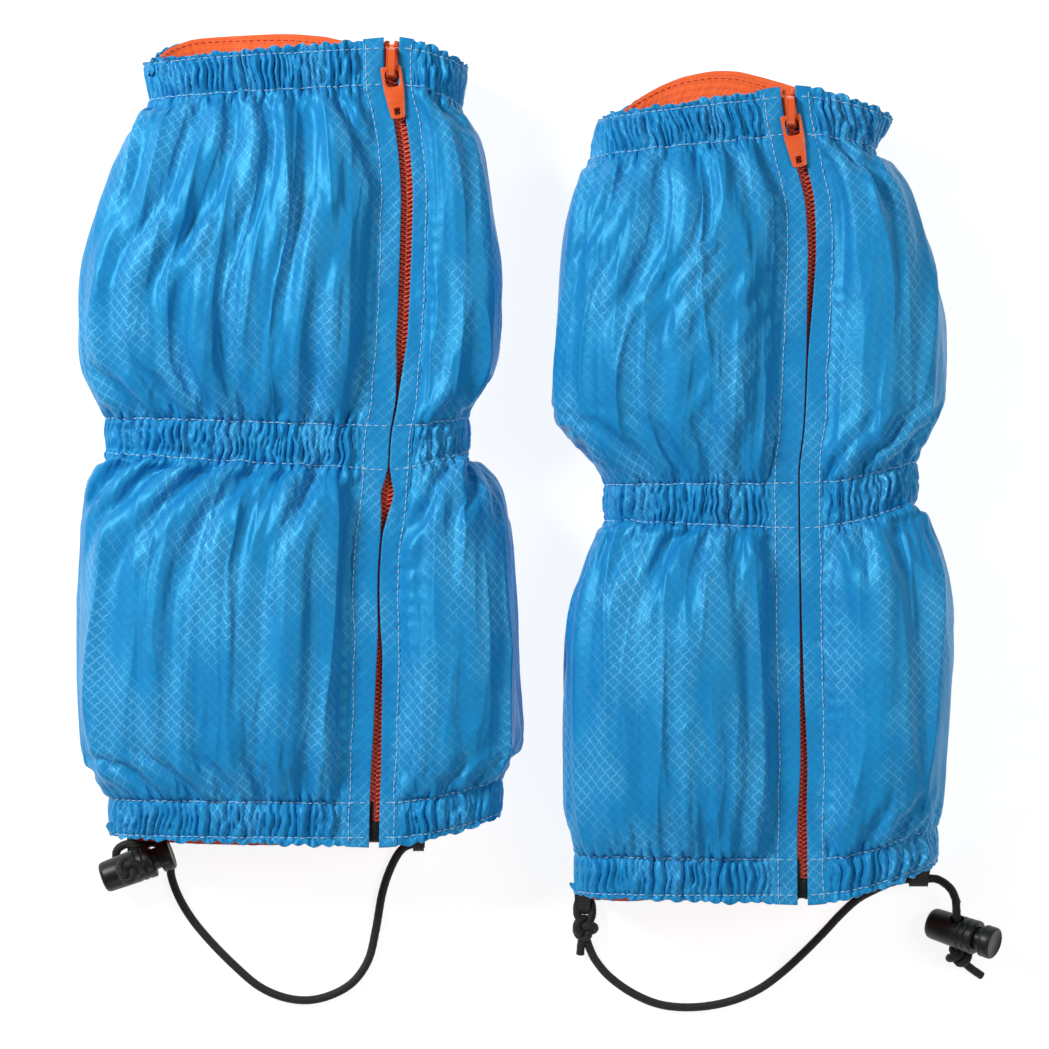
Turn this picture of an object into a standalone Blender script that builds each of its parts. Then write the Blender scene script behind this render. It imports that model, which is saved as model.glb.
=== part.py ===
"""A pair of hiking gaiters lying flat on their backs, with their zips up.

Each gaiter is a lined fabric tube that is open along its front. Three elastic bands gather it at the
calf, the middle and the hem. A separating zip between two flat plackets closes the front, and an
instep cord with a spring lock hangs from two webbing loops at the hem.

World frame: X to the right across the pair, Y towards the calf openings, Z up from the surface.
Sizes below are in millimetres and become metres through MM.
"""

from collections import namedtuple
from math import asin, atan2, cos, hypot, pi, radians, sin

import bmesh
import bpy
from mathutils import Matrix, Vector

MM = 0.001
GAP = 0.3

# Where the pair sits in the world, so that the fabric's box is centred on the origin.
PAIR_SHIFT = (-0.2, 4.8)

# Fabric layers, from the outside in: how deep each starts below the outer surface.
FABRIC = 0.8
ELASTIC_INSET = 1.6
LINING_INSET = 3.2
LINING_TRIM, ELASTIC_TRIM = 1.0, 1.5  # how much shorter each inner layer is at both ends
BACK_RIM = 8.0  # how far the calf opening's back edge reaches past its front edge
BACK_RIM_FADE = 50.0  # and how far down the gaiter that dies away
SUNK = 0.8  # how far the round section would reach below the surface, so that the back lies flat
SECTION_POWER = 3.2  # 2 is an ellipse, more is boxier
SECTION_POINTS = 22

# The zip, as heights above the surface and half widths from its centre line.
ZIP_TOP = 57.3  # upper face of the plackets
PLACKET_THICK = 1.0
PLACKET_INNER = 2.4
PLACKET_OUTER = 15.0
PLACKET_TRIM = 0.5
FLAT_REACH = 42.0  # beyond this the section is free of the zip's height
TAPE_LOW, TAPE_HIGH = 51.3, 51.8
TAPE_INNER, TAPE_OUTER = 1.6, 14.0
TAPE_HEAD_TRIM, TAPE_FOOT_TRIM = 0.7, 1.5
COIL_LOW, COIL_HIGH = 52.1, 54.1
COIL_INNER, COIL_OUTER = 1.0, 3.0
SLIDER_LONG = 14.0
SLIDER_HALF = 4.5
SLIDER_LOW, SLIDER_HIGH = 49.7, 55.7
SLIDER_PLATE = 1.2
BRIDGE_HALF = 0.6
BRIDGE_FROM_END = 1.5
BAIL_HALF, BAIL_WALL = 1.4, 1.6
BAIL_TOP = 61.4
WINDOW_LOW, WINDOW_HIGH = 56.9, 60.0
STOP_LONG, STOP_BELOW_RIM = 2.6, 0.5
BOX_LONG, BOX_HALF = 9.0, 3.4
BOX_LOW, BOX_HIGH = 52.1, 55.3
PIN_INNER, PIN_OUTER = 0.7, 2.1
PIN_LOW, PIN_HIGH = 53.0, 54.4
PIN_ABOVE_BOX = 8.5

# The pull, from its hinge at the crossbar to its tip.
PULL_HINGE_HEIGHT = 58.45
PULL_HINGE_BACK = 2.5  # from the slider's centre towards the hem
PULL_LONG = 23.0
PULL_ABOVE, PULL_SHOULDER = 0.9, 10.0
PULL_EYE_HALF, PULL_TIP_HALF = 4.7, 3.1
PULL_SLOT = (2.9, 0.9, 8.5)  # half width, and from where to where below the hinge
PULL_HOLE = (1.3, 18.2, 21.4)
PULL_THICK = 1.4

# The webbing loops, seen along the cord.
LOOP_OUTER, LOOP_INNER, LOOP_WALL = 3.8, 2.9, 1.2

# Cord, knots and lock.
CORD = 4.0
CORD_STEP = 5.0
KNOT, KNOT_CLEAR = 5.6, 0.2
ANCHOR_KNOT = (32.4, -213.8, 5.9)
BARREL_LONG, BARREL_R, BARREL_FOOT_R = 25.0, 8.0, 7.2
BORE_R, BORE_DEPTH = 5.3, 22.0
STEM_R, CAP_R, CAP_LONG = 5.0, 7.5, 6.0
STEM_LONG = 16.0
CORD_HOLE = 2.9
HOLE_FROM_FOOT = 14.5
PRESS = 3.0  # the plunger's travel
SPRING_R, SPRING_WIRE, SPRING_TURNS, SPRING_CLEAR = 3.4, 0.8, 4, 0.8

# One row across a gaiter: the outline's left and right points, the height along Y where the row
# crosses the zip, and how high the row's middle stands.
Row = namedtuple("Row", "left_x left_y zip_y right_x right_y height")
Gaiter = namedtuple(
    "Gaiter",
    "name rows zip_head zip_foot slider_y pull_lean loops lock_foot lock_turn lock_rise lock_roll cord",
)
Loop = namedtuple("Loop", "name centre width top_y")
Band = namedtuple("Band", "name first second")
BANDS = (
    Band("top_elastic", 0, 1),
    Band("middle_elastic", 6, 7),
    Band("hem_elastic", 12, 13),
)

LEFT = Gaiter(
    name="left",
    rows=(
        Row(-170, 185, 194, -22, 184, 58),
        Row(-167, 168, 173.5, -25, 166, 58),
        Row(-177, 147, 148, -17, 148, 62),
        Row(-188, 117, 118, -12, 118, 66),
        Row(-198, 83, 83, -7, 84, 67),
        Row(-198, 52, 52, -9, 52, 65),
        Row(-187, 23, 18.8, -22, 23, 58),
        Row(-186.5, 6, -1.1, -22, 7, 58),
        Row(-195, -8, -14, -9, -8, 63),
        Row(-198, -40, -42, -2, -40, 66),
        Row(-199.5, -90, -90, 0, -90, 67),
        Row(-198, -128, -130, 2.5, -124, 64),
        Row(-186, -150.5, -151.8, -7, -142, 58),
        Row(-185, -168, -171.5, -7, -159, 58),
    ),
    zip_head=(-56.0, 183.0),
    zip_foot=(-63.6, -165.0),
    slider_y=183.0,
    pull_lean=10.0,
    loops=(
        Loop("left_webbing_loop_a", (-176.6, -174.6, 5.2), 7.0, -169.8),
        Loop("left_webbing_loop_b", (-45.0, -174.5, 5.2), 5.0, -171.2),
    ),
    lock_foot=(-191.3, -189.9, 13.4),
    lock_turn=20.4,
    lock_rise=0.0,
    lock_roll=90.0,
    cord=(
        (-42.0, -174.5, 5.2), (-47.0, -174.5, 5.2), (-53.0, -177.5, 3.6), (-58.0, -186.0, 2.1),
        (-62.0, -198.0, 2.1), (-65.0, -215.0, 2.1), (-68.5, -229.0, 2.1), (-75.7, -239.4, 2.1),
        (-85.9, -245.4, 2.1), (-97.0, -247.8, 2.1), (-108.5, -246.3, 2.1), (-120.0, -241.0, 2.1),
        (-130.7, -231.9, 2.1), (-141.0, -221.6, 2.1), (-150.0, -211.0, 2.1), (-156.5, -200.5, 2.1),
        (-160.3, -190.5, 2.1), (-161.0, -183.0, 2.5), (-163.2, -177.0, 3.6), (-168.0, -174.2, 5.0),
        (-173.0, -174.6, 5.2), (-180.5, -174.6, 5.2), (-185.0, -177.0, 4.4), (-186.0, -181.0, 2.7),
        (-182.4, -184.6, 2.1), (-179.0, -184.9, 3.3), (-177.7, -184.9, 6.6), (-177.7, -184.9, 10.0),
        (-177.7, -184.9, 16.0),
    ),
)
RIGHT = Gaiter(
    name="right",
    rows=(
        Row(39, 160, 172, 173, 160, 58),
        Row(35, 142, 151, 165, 146, 58),
        Row(29, 127, 130, 178, 127, 62),
        Row(23.5, 103, 104, 186, 103, 66),
        Row(20.5, 63, 66, 196.5, 63, 67),
        Row(18, 28, 28, 195.5, 33, 65),
        Row(42, -7.5, -7, 183.5, 3.5, 58),
        Row(42, -24, -27.4, 183.5, -15, 58),
        Row(33, -46, -44, 195, -43, 63),
        Row(24.5, -72, -72, 200, -72, 66),
        Row(23.5, -110, -112, 199, -110, 67),
        Row(24, -155, -155, 195, -145, 64),
        Row(28.3, -176, -177.6, 192.5, -162, 58),
        Row(28.3, -195, -197.5, 193.5, -180, 58),
    ),
    zip_head=(124.6, 162.0),
    zip_foot=(130.2, -190.7),
    slider_y=161.0,
    pull_lean=10.0,
    loops=(
        Loop("right_webbing_loop_a", (31.5, -204.0, 4.6), 8.0, -196.6),
        Loop("right_webbing_loop_b", (188.6, -189.9, 16.6), 11.0, -183.4),
    ),
    lock_foot=(193.5, -211.0, 6.5),
    lock_turn=-16.3,
    lock_rise=33.0,
    lock_roll=38.0,
    cord=(
        (33.6, -220.0, 3.6), (35.2, -224.5, 2.4), (37.8, -229.5, 2.1), (43.8, -236.6, 2.1),
        (53.6, -243.8, 2.1), (64.9, -249.0, 2.1), (76.1, -251.0, 2.1), (89.0, -250.6, 2.1),
        (102.0, -247.8, 2.1), (113.9, -242.6, 2.1), (123.7, -235.6, 2.1), (133.5, -226.8, 2.1),
        (143.3, -217.0, 2.1), (151.7, -208.0, 2.1), (159.6, -200.6, 3.4), (167.0, -196.0, 6.8),
        (174.5, -192.0, 12.2), (182.0, -190.0, 16.0), (188.5, -189.9, 16.6), (195.5, -190.0, 17.2),
        (201.2, -194.0, 20.2), (203.8, -199.8, 21.2),
    ),
)

COLOURS = {
    "shell": (0.015, 0.22, 0.60),
    "lining": (0.80, 0.10, 0.02),
    "zip": (0.85, 0.11, 0.03),
    "coil": (0.55, 0.04, 0.02),
    "elastic": (0.60, 0.60, 0.58),
    "black": (0.012, 0.012, 0.012),
    "steel": (0.60, 0.60, 0.62),
}


def material(slot, roughness, metallic=0.0):
    made = bpy.data.materials.new(slot)
    made.use_nodes = True
    shader = made.node_tree.nodes["Principled BSDF"]
    shader.inputs["Base Color"].default_value = (*COLOURS[slot], 1.0)
    shader.inputs["Roughness"].default_value = roughness
    shader.inputs["Metallic"].default_value = metallic
    return made


def clear_scene():
    for thing in list(bpy.data.objects):
        bpy.data.objects.remove(thing, do_unlink=True)


def new_collection(name):
    made = bpy.data.collections.new(name)
    bpy.context.scene.collection.children.link(made)
    return made


def put(name, data, finish, parent=None, home=None):
    """Puts a mesh or a curve in the gaiters' collection, as one named sub-part."""
    piece = bpy.data.objects.new(name, data)
    (home or PARTS).objects.link(piece)
    if finish:
        data.materials.append(finish)
    piece.parent = parent
    return piece


def as_cutter(piece):
    PARTS.objects.unlink(piece)
    CUTTERS.objects.link(piece)
    piece.hide_render = True
    piece.display_type = "WIRE"
    return piece


def empty(name, place, turn=None, parent=None):
    made = bpy.data.objects.new(name, None)
    PARTS.objects.link(made)
    made.parent = parent
    rotation = turn or Matrix.Identity(3)
    made.matrix_local = Matrix.Translation(Vector(place) * MM) @ rotation.to_4x4()
    return made


def box(name, low, high, finish, parent=None, bevel=0.0):
    """An upright box between two corners."""
    shape = bmesh.new()
    bmesh.ops.create_cube(shape, size=1.0)
    size = [(high[i] - low[i]) * MM for i in range(3)]
    centre = [(high[i] + low[i]) / 2 * MM for i in range(3)]
    bmesh.ops.scale(shape, vec=size, verts=shape.verts)
    bmesh.ops.translate(shape, vec=centre, verts=shape.verts)
    mesh = bpy.data.meshes.new(name)
    shape.to_mesh(mesh)
    shape.free()
    piece = put(name, mesh, finish, parent)
    if bevel:
        rounded = piece.modifiers.new("rounded edges", "BEVEL")
        rounded.width = bevel * MM
        rounded.segments = 2
    return piece


def cylinder(name, radius, length, finish, parent=None, tip_radius=None, start=0.0, sides=28):
    """A cylinder or cone along the parent's X axis, from start onwards."""
    shape = bmesh.new()
    tip = radius if tip_radius is None else tip_radius
    bmesh.ops.create_cone(
        shape, cap_ends=True, segments=sides, radius1=radius * MM, radius2=tip * MM, depth=length * MM
    )
    bmesh.ops.rotate(shape, matrix=Matrix.Rotation(pi / 2, 3, "Y"), verts=shape.verts)
    bmesh.ops.translate(shape, vec=((start + length / 2) * MM, 0, 0), verts=shape.verts)
    mesh = bpy.data.meshes.new(name)
    shape.to_mesh(mesh)
    shape.free()
    mesh.shade_smooth()
    mesh.set_sharp_from_angle(angle=radians(40))
    return put(name, mesh, finish, parent)


def boolean(piece, tool, operation):
    step = piece.modifiers.new(operation.lower(), "BOOLEAN")
    step.operation = operation
    step.object = as_cutter(tool)


def flat_outline(name, outlines, thick, finish, parent=None):
    """A flat piece from closed outlines in XY, the later ones being holes."""
    curve = bpy.data.curves.new(name, "CURVE")
    curve.dimensions = "2D"
    curve.fill_mode = "BOTH"
    curve.extrude = thick / 2 * MM
    for outline in outlines:
        spline = curve.splines.new("POLY")
        spline.points.add(len(outline) - 1)
        for point, (x, y) in zip(spline.points, outline):
            point.co = (x * MM, y * MM, 0, 1)
        spline.use_cyclic_u = True
    return put(name, curve, finish, parent)


def tube(name, points, thick, finish, parent=None, sides=2):
    """A round wire or cord along a list of points."""
    curve = bpy.data.curves.new(name, "CURVE")
    curve.dimensions = "3D"
    curve.bevel_depth = thick / 2 * MM
    curve.bevel_resolution = sides
    curve.use_fill_caps = True
    spline = curve.splines.new("POLY")
    spline.points.add(len(points) - 1)
    for point, place in zip(spline.points, points):
        point.co = (*(Vector(place) * MM), 1)
    return put(name, curve, finish, parent)


def smooth_route(points, spacing):
    """Points at an even spacing along the Catmull-Rom curve through a cord's route."""
    ends = [2 * Vector(points[0]) - Vector(points[1]), 2 * Vector(points[-1]) - Vector(points[-2])]
    knots = [ends[0], *map(Vector, points), ends[1]]
    fine = []
    for a, b, c, d in zip(knots, knots[1:], knots[2:], knots[3:]):
        for k in range(12):
            t = k / 12
            fine.append(
                b + (c - a) * t / 2 + (a - 2.5 * b + 2 * c - d / 2) * t * t
                + (1.5 * b - a / 2 - 1.5 * c + d / 2) * t ** 3
            )
    fine.append(knots[-2])
    total = sum((q - p).length for p, q in zip(fine, fine[1:]))
    steps = round(total / spacing)
    even, travelled = [fine[0]], 0.0
    for p, q in zip(fine, fine[1:]):
        length = (q - p).length
        while length and len(even) < steps and travelled + length >= len(even) * total / steps:
            even.append(p.lerp(q, (len(even) * total / steps - travelled) / length))
        travelled += length
    return [*even[:steps], fine[-1]]


def zip_x(gaiter, y):
    """The zip's straight centre line."""
    (x0, y0), (x1, y1) = gaiter.zip_head, gaiter.zip_foot
    return x0 + (y - y0) * (x1 - x0) / (y1 - y0)


def signed_power(value, power):
    return abs(value) ** power if value >= 0 else -(abs(value) ** power)


def row_angles(centre, half, edge_left, edge_right):
    """Angles round a section, from the left placket round the back to the right placket."""
    def angle_at(x):
        return asin(signed_power(1 - abs((x - centre) / half) ** SECTION_POWER, 0.5))

    first = angle_at(edge_left)
    last = angle_at(edge_right)
    if edge_left < centre:
        first = pi - first
    if edge_right < centre:
        last = pi - last
    step = (last + 2 * pi - first) / (SECTION_POINTS - 1)
    return [first + step * k for k in range(SECTION_POINTS)]


def row_y(row, middle, x):
    """Where a row runs: straight from its left point to the zip, then in an arc to its right point."""
    if x < middle:
        return row.left_y + (row.zip_y - row.left_y) * (x - row.left_x) / (middle - row.left_x)
    share = (row.right_x - x) / (row.right_x - middle)
    return row.right_y + (row.zip_y - row.right_y) * sin(share * pi / 2)


def section(gaiter, row, inset):
    """One row's ring of points, inset from the outer surface, open across the zip."""
    centre = (row.left_x + row.right_x) / 2
    half = (row.right_x - row.left_x) / 2
    middle = zip_x(gaiter, row.zip_y)
    opening = PLACKET_OUTER + GAP
    lift = (row.height + SUNK) / 2
    from_rim = gaiter.rows[0].zip_y - row.zip_y
    back_rim = BACK_RIM * max(0.0, 1 - from_rim / BACK_RIM_FADE)
    points = []
    for angle in row_angles(centre, half, middle - opening, middle + opening):
        x = centre + (half - inset) * signed_power(cos(angle), 2 / SECTION_POWER)
        z = lift - SUNK + (lift - inset) * signed_power(sin(angle), 2 / SECTION_POWER)
        y = row_y(row, middle, x) + back_rim * (1 - sin(angle)) / 2
        if sin(angle) > 0:
            away = min(1.0, max(0.0, (abs(x - middle) - opening) / (FLAT_REACH - opening)))
            blend = away * away * (3 - 2 * away)
            z = (ZIP_TOP - inset) * (1 - blend) + z * blend
        points.append(Vector((x, y, max(z, inset))) * MM)
    return points


def fabric_layer(name, gaiter, rows, inset, finish, parent):
    """An open surface lofted through the rows, thickened inwards."""
    shape = bmesh.new()
    rings = [[shape.verts.new(p) for p in section(gaiter, row, inset)] for row in rows]
    for upper, lower in zip(rings, rings[1:]):
        for j in range(SECTION_POINTS - 1):
            shape.faces.new((upper[j], upper[j + 1], lower[j + 1], lower[j]))
    mesh = bpy.data.meshes.new(name)
    shape.to_mesh(mesh)
    shape.free()
    piece = put(name, mesh, finish, parent)
    wall = piece.modifiers.new("fabric", "SOLIDIFY")
    wall.thickness = FABRIC * MM
    wall.offset = -1.0
    wall.use_even_offset = True
    return piece


def between(row, other, distance):
    """The row that lies this far from one row towards the next, measured along the zip."""
    share = distance / abs(row.zip_y - other.zip_y)
    return Row(*(a + (b - a) * share for a, b in zip(row, other)))


def inner_rows(rows, trim):
    """The same rows, cut shorter at both ends, for a layer that the shell covers."""
    return [between(rows[0], rows[1], trim), *rows[1:-1], between(rows[-1], rows[-2], trim)]


def fabric_tube(gaiter, parent, finishes):
    name = gaiter.name
    fabric_layer(f"{name}_shell", gaiter, gaiter.rows, 0.0, finishes["shell"], parent)
    fabric_layer(
        f"{name}_lining", gaiter, inner_rows(gaiter.rows, LINING_TRIM), LINING_INSET, finishes["lining"],
        parent,
    )
    for band in BANDS:
        first, second = gaiter.rows[band.first], gaiter.rows[band.second]
        rows = [between(first, second, ELASTIC_TRIM), between(second, first, ELASTIC_TRIM)]
        fabric_layer(f"{name}_{band.name}", gaiter, rows, ELASTIC_INSET, finishes["elastic"], parent)


def zip_parts(gaiter, parent, finishes):
    """The zip's fixed parts, in a frame whose Y runs up the zip from its head point."""
    (x0, y0), (x1, y1) = gaiter.zip_head, gaiter.zip_foot
    tilt = Matrix.Rotation(atan2(x1 - x0, y0 - y1), 3, "Z")
    line = empty(f"{gaiter.name}_zip_line", (x0, y0, 0), tilt, parent)
    long = hypot(x1 - x0, y1 - y0)
    head = gaiter.rows[0].zip_y - y0
    foot = gaiter.rows[-1].zip_y - y0
    box_low = -long - BOX_LONG / 2
    box_high = box_low + BOX_LONG
    pin_high = box_high + PIN_ABOVE_BOX
    stop_low = head - STOP_BELOW_RIM - STOP_LONG
    for side, sign in (("pin_side", -1), ("box_side", 1)):

        def strip(name, inner, outer, low, high, ends, finish, bevel=0.0):
            edges = sorted((sign * inner, sign * outer))
            return box(
                f"{gaiter.name}_{name}_{side}", (edges[0], ends[0], low), (edges[1], ends[1], high),
                finish, line, bevel,
            )

        strip(
            "placket", PLACKET_INNER, PLACKET_OUTER, ZIP_TOP - PLACKET_THICK, ZIP_TOP,
            (foot + PLACKET_TRIM, head - PLACKET_TRIM), finishes["shell"],
        )
        strip(
            "zip_tape", TAPE_INNER, TAPE_OUTER, TAPE_LOW, TAPE_HIGH,
            (foot + TAPE_FOOT_TRIM, head - TAPE_HEAD_TRIM), finishes["zip"],
        )
        coil_end = GAP + (pin_high if sign < 0 else box_high)
        strip(
            "zip_coil", COIL_INNER, COIL_OUTER, COIL_LOW, COIL_HIGH, (coil_end, stop_low - GAP),
            finishes["coil"],
        )
        strip(
            "top_stop", COIL_INNER - 0.1, COIL_OUTER + 0.2, COIL_LOW, COIL_HIGH + 0.3,
            (stop_low, stop_low + STOP_LONG), finishes["steel"], 0.3,
        )
    holder = box(
        f"{gaiter.name}_retainer_box", (-BOX_HALF, box_low, BOX_LOW), (BOX_HALF, box_high, BOX_HIGH),
        finishes["black"], line, 0.5,
    )
    socket = box(
        "pin socket", (-PIN_OUTER - GAP, box_low - 1, PIN_LOW - GAP),
        (GAP - PIN_INNER, box_high + 1, PIN_HIGH + GAP), None, line,
    )
    boolean(holder, socket, "DIFFERENCE")
    box(
        f"{gaiter.name}_insertion_pin", (-PIN_OUTER, box_low + 1, PIN_LOW), (-PIN_INNER, pin_high, PIN_HIGH),
        finishes["steel"], line, 0.2,
    )
    return line


def slider_parts(gaiter, line, finishes):
    """The slider in its own frame at the top of its travel, and the pull on its crossbar."""
    centre = gaiter.slider_y - gaiter.zip_head[1]
    carriage = empty(f"{gaiter.name}_slider_frame", (0, centre, 0), None, line)
    half = SLIDER_LONG / 2
    under = SLIDER_LOW + SLIDER_PLATE
    over = SLIDER_HIGH - SLIDER_PLATE
    slider = box(
        f"{gaiter.name}_zip_slider", (-SLIDER_HALF, -half, over), (SLIDER_HALF, half, SLIDER_HIGH),
        finishes["zip"], carriage,
    )
    bridge_low, bridge_high = 1.0, half - BRIDGE_FROM_END
    pieces = [
        box("lower plate", (-SLIDER_HALF, -half, SLIDER_LOW), (SLIDER_HALF, half, under), None, carriage),
        box(
            "bridge", (-BRIDGE_HALF, bridge_low, under - 0.5), (BRIDGE_HALF, bridge_high, over + 0.5),
            None, carriage,
        ),
        box("bail", (-BAIL_HALF, -half, SLIDER_HIGH - 0.5), (BAIL_HALF, half, BAIL_TOP), None, carriage),
    ]
    for sign in (-1, 1):
        edges = sorted((sign * (SLIDER_HALF - 1.0), sign * SLIDER_HALF))
        pieces.append(
            box("flange", (edges[0], -half, TAPE_HIGH + 0.8), (edges[1], half, over + 0.5), None, carriage)
        )
    for piece in pieces:
        boolean(slider, piece, "UNION")
    window_half = half - BAIL_WALL
    window = box(
        "bail window", (-SLIDER_HALF, -window_half, WINDOW_LOW), (SLIDER_HALF, window_half, WINDOW_HIGH),
        None, carriage,
    )
    boolean(slider, window, "DIFFERENCE")

    lean = Matrix.Rotation(radians(gaiter.pull_lean), 3, "Z")
    hinge = empty(
        f"{gaiter.name}_pull_hinge", (0, -PULL_HINGE_BACK, PULL_HINGE_HEIGHT), lean, carriage
    )
    eye, tip = PULL_EYE_HALF, PULL_TIP_HALF
    body = [
        (-eye, PULL_ABOVE), (-eye, -PULL_SHOULDER), (-tip, -PULL_LONG), (tip, -PULL_LONG),
        (eye, -PULL_SHOULDER), (eye, PULL_ABOVE),
    ]
    slot, hole = (
        [(-wide, -near), (-wide, -far), (wide, -far), (wide, -near)]
        for wide, near, far in (PULL_SLOT, PULL_HOLE)
    )
    flat_outline(f"{gaiter.name}_zip_pull", (body, slot, hole), PULL_THICK, finishes["zip"], hinge)


def webbing_loop(loop, finish, parent):
    """A folded strip seen along the cord: a ring for the cord and a tab up to the hem."""
    turn = Matrix(((0, 0, 1), (1, 0, 0), (0, 1, 0)))
    frame = empty(f"{loop.name}_frame", loop.centre, turn, parent)
    tab = loop.top_y - loop.centre[1]
    ring = [(LOOP_OUTER * cos(pi / 4 * k), LOOP_OUTER * sin(pi / 4 * k)) for k in range(2, 9)]
    outline = [*ring, (LOOP_OUTER, LOOP_OUTER - LOOP_WALL), (tab, LOOP_OUTER - LOOP_WALL), (tab, LOOP_OUTER)]
    hole = [(LOOP_INNER * cos(pi / 4 * k), LOOP_INNER * sin(pi / 4 * k)) for k in range(8)]
    flat_outline(loop.name, (outline, hole), loop.width, finish, frame)


def lock_frame(gaiter, parent):
    """The cord lock's frame: X along the barrel from its closed foot, Z along the cord's hole."""
    turn = (
        Matrix.Rotation(radians(gaiter.lock_turn), 3, "Z")
        @ Matrix.Rotation(radians(-gaiter.lock_rise), 3, "Y")
        @ Matrix.Rotation(radians(gaiter.lock_roll - 90.0), 3, "X")
    )
    return empty(f"{gaiter.name}_lock_frame", gaiter.lock_foot, turn, parent), turn


def cord_lock(gaiter, frame, finishes):
    name, black = gaiter.name, finishes["black"]
    barrel = cylinder(
        f"{name}_lock_barrel", BARREL_FOOT_R, BARREL_LONG, black, frame, tip_radius=BARREL_R
    )
    bore = cylinder("bore", BORE_R, BORE_DEPTH + 2, None, frame, start=BARREL_LONG - BORE_DEPTH, sides=24)
    boolean(barrel, bore, "DIFFERENCE")
    hole = upright_hole("cord hole", CORD_HOLE, frame)
    boolean(barrel, hole, "DIFFERENCE")
    stem_start = BARREL_LONG + PRESS + GAP - STEM_LONG
    plunger = cylinder(
        f"{name}_lock_plunger", STEM_R, STEM_LONG + 1, black, frame, start=stem_start, sides=24
    )
    cap = cylinder("cap", CAP_R, CAP_LONG, None, frame, start=BARREL_LONG + PRESS + GAP, sides=24)
    boolean(plunger, cap, "UNION")
    slot_low = HOLE_FROM_FOOT - CORD_HOLE
    slot_high = HOLE_FROM_FOOT + CORD_HOLE + PRESS + GAP
    slot = box("cord slot", (slot_low, -CORD_HOLE, -CAP_R), (slot_high, CORD_HOLE, CAP_R), None, frame)
    boolean(plunger, slot, "DIFFERENCE")
    spring_start = BARREL_LONG - BORE_DEPTH + SPRING_CLEAR
    spring_long = stem_start - spring_start - SPRING_CLEAR
    steps = 12 * SPRING_TURNS
    coil = [
        (
            spring_start + spring_long * k / steps,
            SPRING_R * cos(2 * pi * k / 12),
            SPRING_R * sin(2 * pi * k / 12),
        )
        for k in range(steps + 1)
    ]
    tube(f"{name}_lock_spring", coil, SPRING_WIRE, finishes["steel"], frame, sides=1)


def upright_hole(name, radius, frame):
    """A round cutter along the lock frame's Z, through the middle of the cord's hole."""
    shape = bmesh.new()
    bmesh.ops.create_cone(
        shape, cap_ends=True, segments=16, radius1=radius * MM, radius2=radius * MM,
        depth=(2 * BARREL_R + 4) * MM,
    )
    bmesh.ops.translate(shape, vec=(HOLE_FROM_FOOT * MM, 0, 0), verts=shape.verts)
    mesh = bpy.data.meshes.new(name)
    shape.to_mesh(mesh)
    shape.free()
    return put(name, mesh, None, frame)


def knot(name, place, finish, parent):
    shape = bmesh.new()
    bmesh.ops.create_uvsphere(shape, u_segments=14, v_segments=8, radius=KNOT * MM)
    mesh = bpy.data.meshes.new(name)
    shape.to_mesh(mesh)
    shape.free()
    mesh.shade_smooth()
    piece = put(name, mesh, finish, parent)
    piece.location = Vector(place) * MM
    return piece


def cord_and_knots(gaiter, turn, finishes, parent):
    """The instep cord, ending in the knot beyond its lock."""
    along = turn @ Vector((0, 0, 1))
    hole = Vector(gaiter.lock_foot) + turn @ Vector((HOLE_FROM_FOOT, 0, 0))
    if gaiter.name == "left":
        knot_place = hole + along * (BARREL_R + KNOT + KNOT_CLEAR)
        route = [*gaiter.cord, hole + along * (BARREL_R - KNOT_CLEAR)]
    else:
        knot_place = hole - along * (BARREL_R + KNOT + KNOT_CLEAR)
        through = [hole + along * away for away in (17, 8, 0, KNOT_CLEAR - BARREL_R)]
        route = [*gaiter.cord, *through]
        knot("right_anchor_knot", ANCHOR_KNOT, finishes["black"], parent)
    knot(f"{gaiter.name}_end_knot", knot_place, finishes["black"], parent)
    points = smooth_route(route, CORD_STEP)
    tube(f"{gaiter.name}_instep_cord", points, CORD, finishes["black"], parent)


def build_gaiter(gaiter, finishes):
    frame = empty(f"{gaiter.name}_gaiter", (*PAIR_SHIFT, 0))
    fabric_tube(gaiter, frame, finishes)
    line = zip_parts(gaiter, frame, finishes)
    slider_parts(gaiter, line, finishes)
    for loop in gaiter.loops:
        webbing_loop(loop, finishes["black"], frame)
    lock, turn = lock_frame(gaiter, frame)
    cord_lock(gaiter, lock, finishes)
    cord_and_knots(gaiter, turn, finishes, frame)


clear_scene()
PARTS = new_collection("gaiters")
CUTTERS = new_collection("cutters")
FINISHES = {
    "shell": material("shell", 0.45),
    "lining": material("lining", 0.6),
    "zip": material("zip", 0.35),
    "coil": material("coil", 0.4),
    "elastic": material("elastic", 0.8),
    "black": material("black", 0.5),
    "steel": material("steel", 0.3, 1.0),
}
for each in (LEFT, RIGHT):
    build_gaiter(each, FINISHES)
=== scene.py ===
"""The looks of a pair of hiking gaiters that lie on their backs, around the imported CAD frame.

Sizes are in millimetres in each gaiter's own frame, as in the CAD, and become world metres in world().
A gaiter's fabric is a grid: columns run round it from the left placket over the back to the right
placket, and rows run from the calf opening down to the hem.
"""

from collections import namedtuple
from math import atan2, cos, hypot, pi, radians, sin

import bmesh
import bpy
import numpy as np
from mathutils import Matrix, Vector

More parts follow.
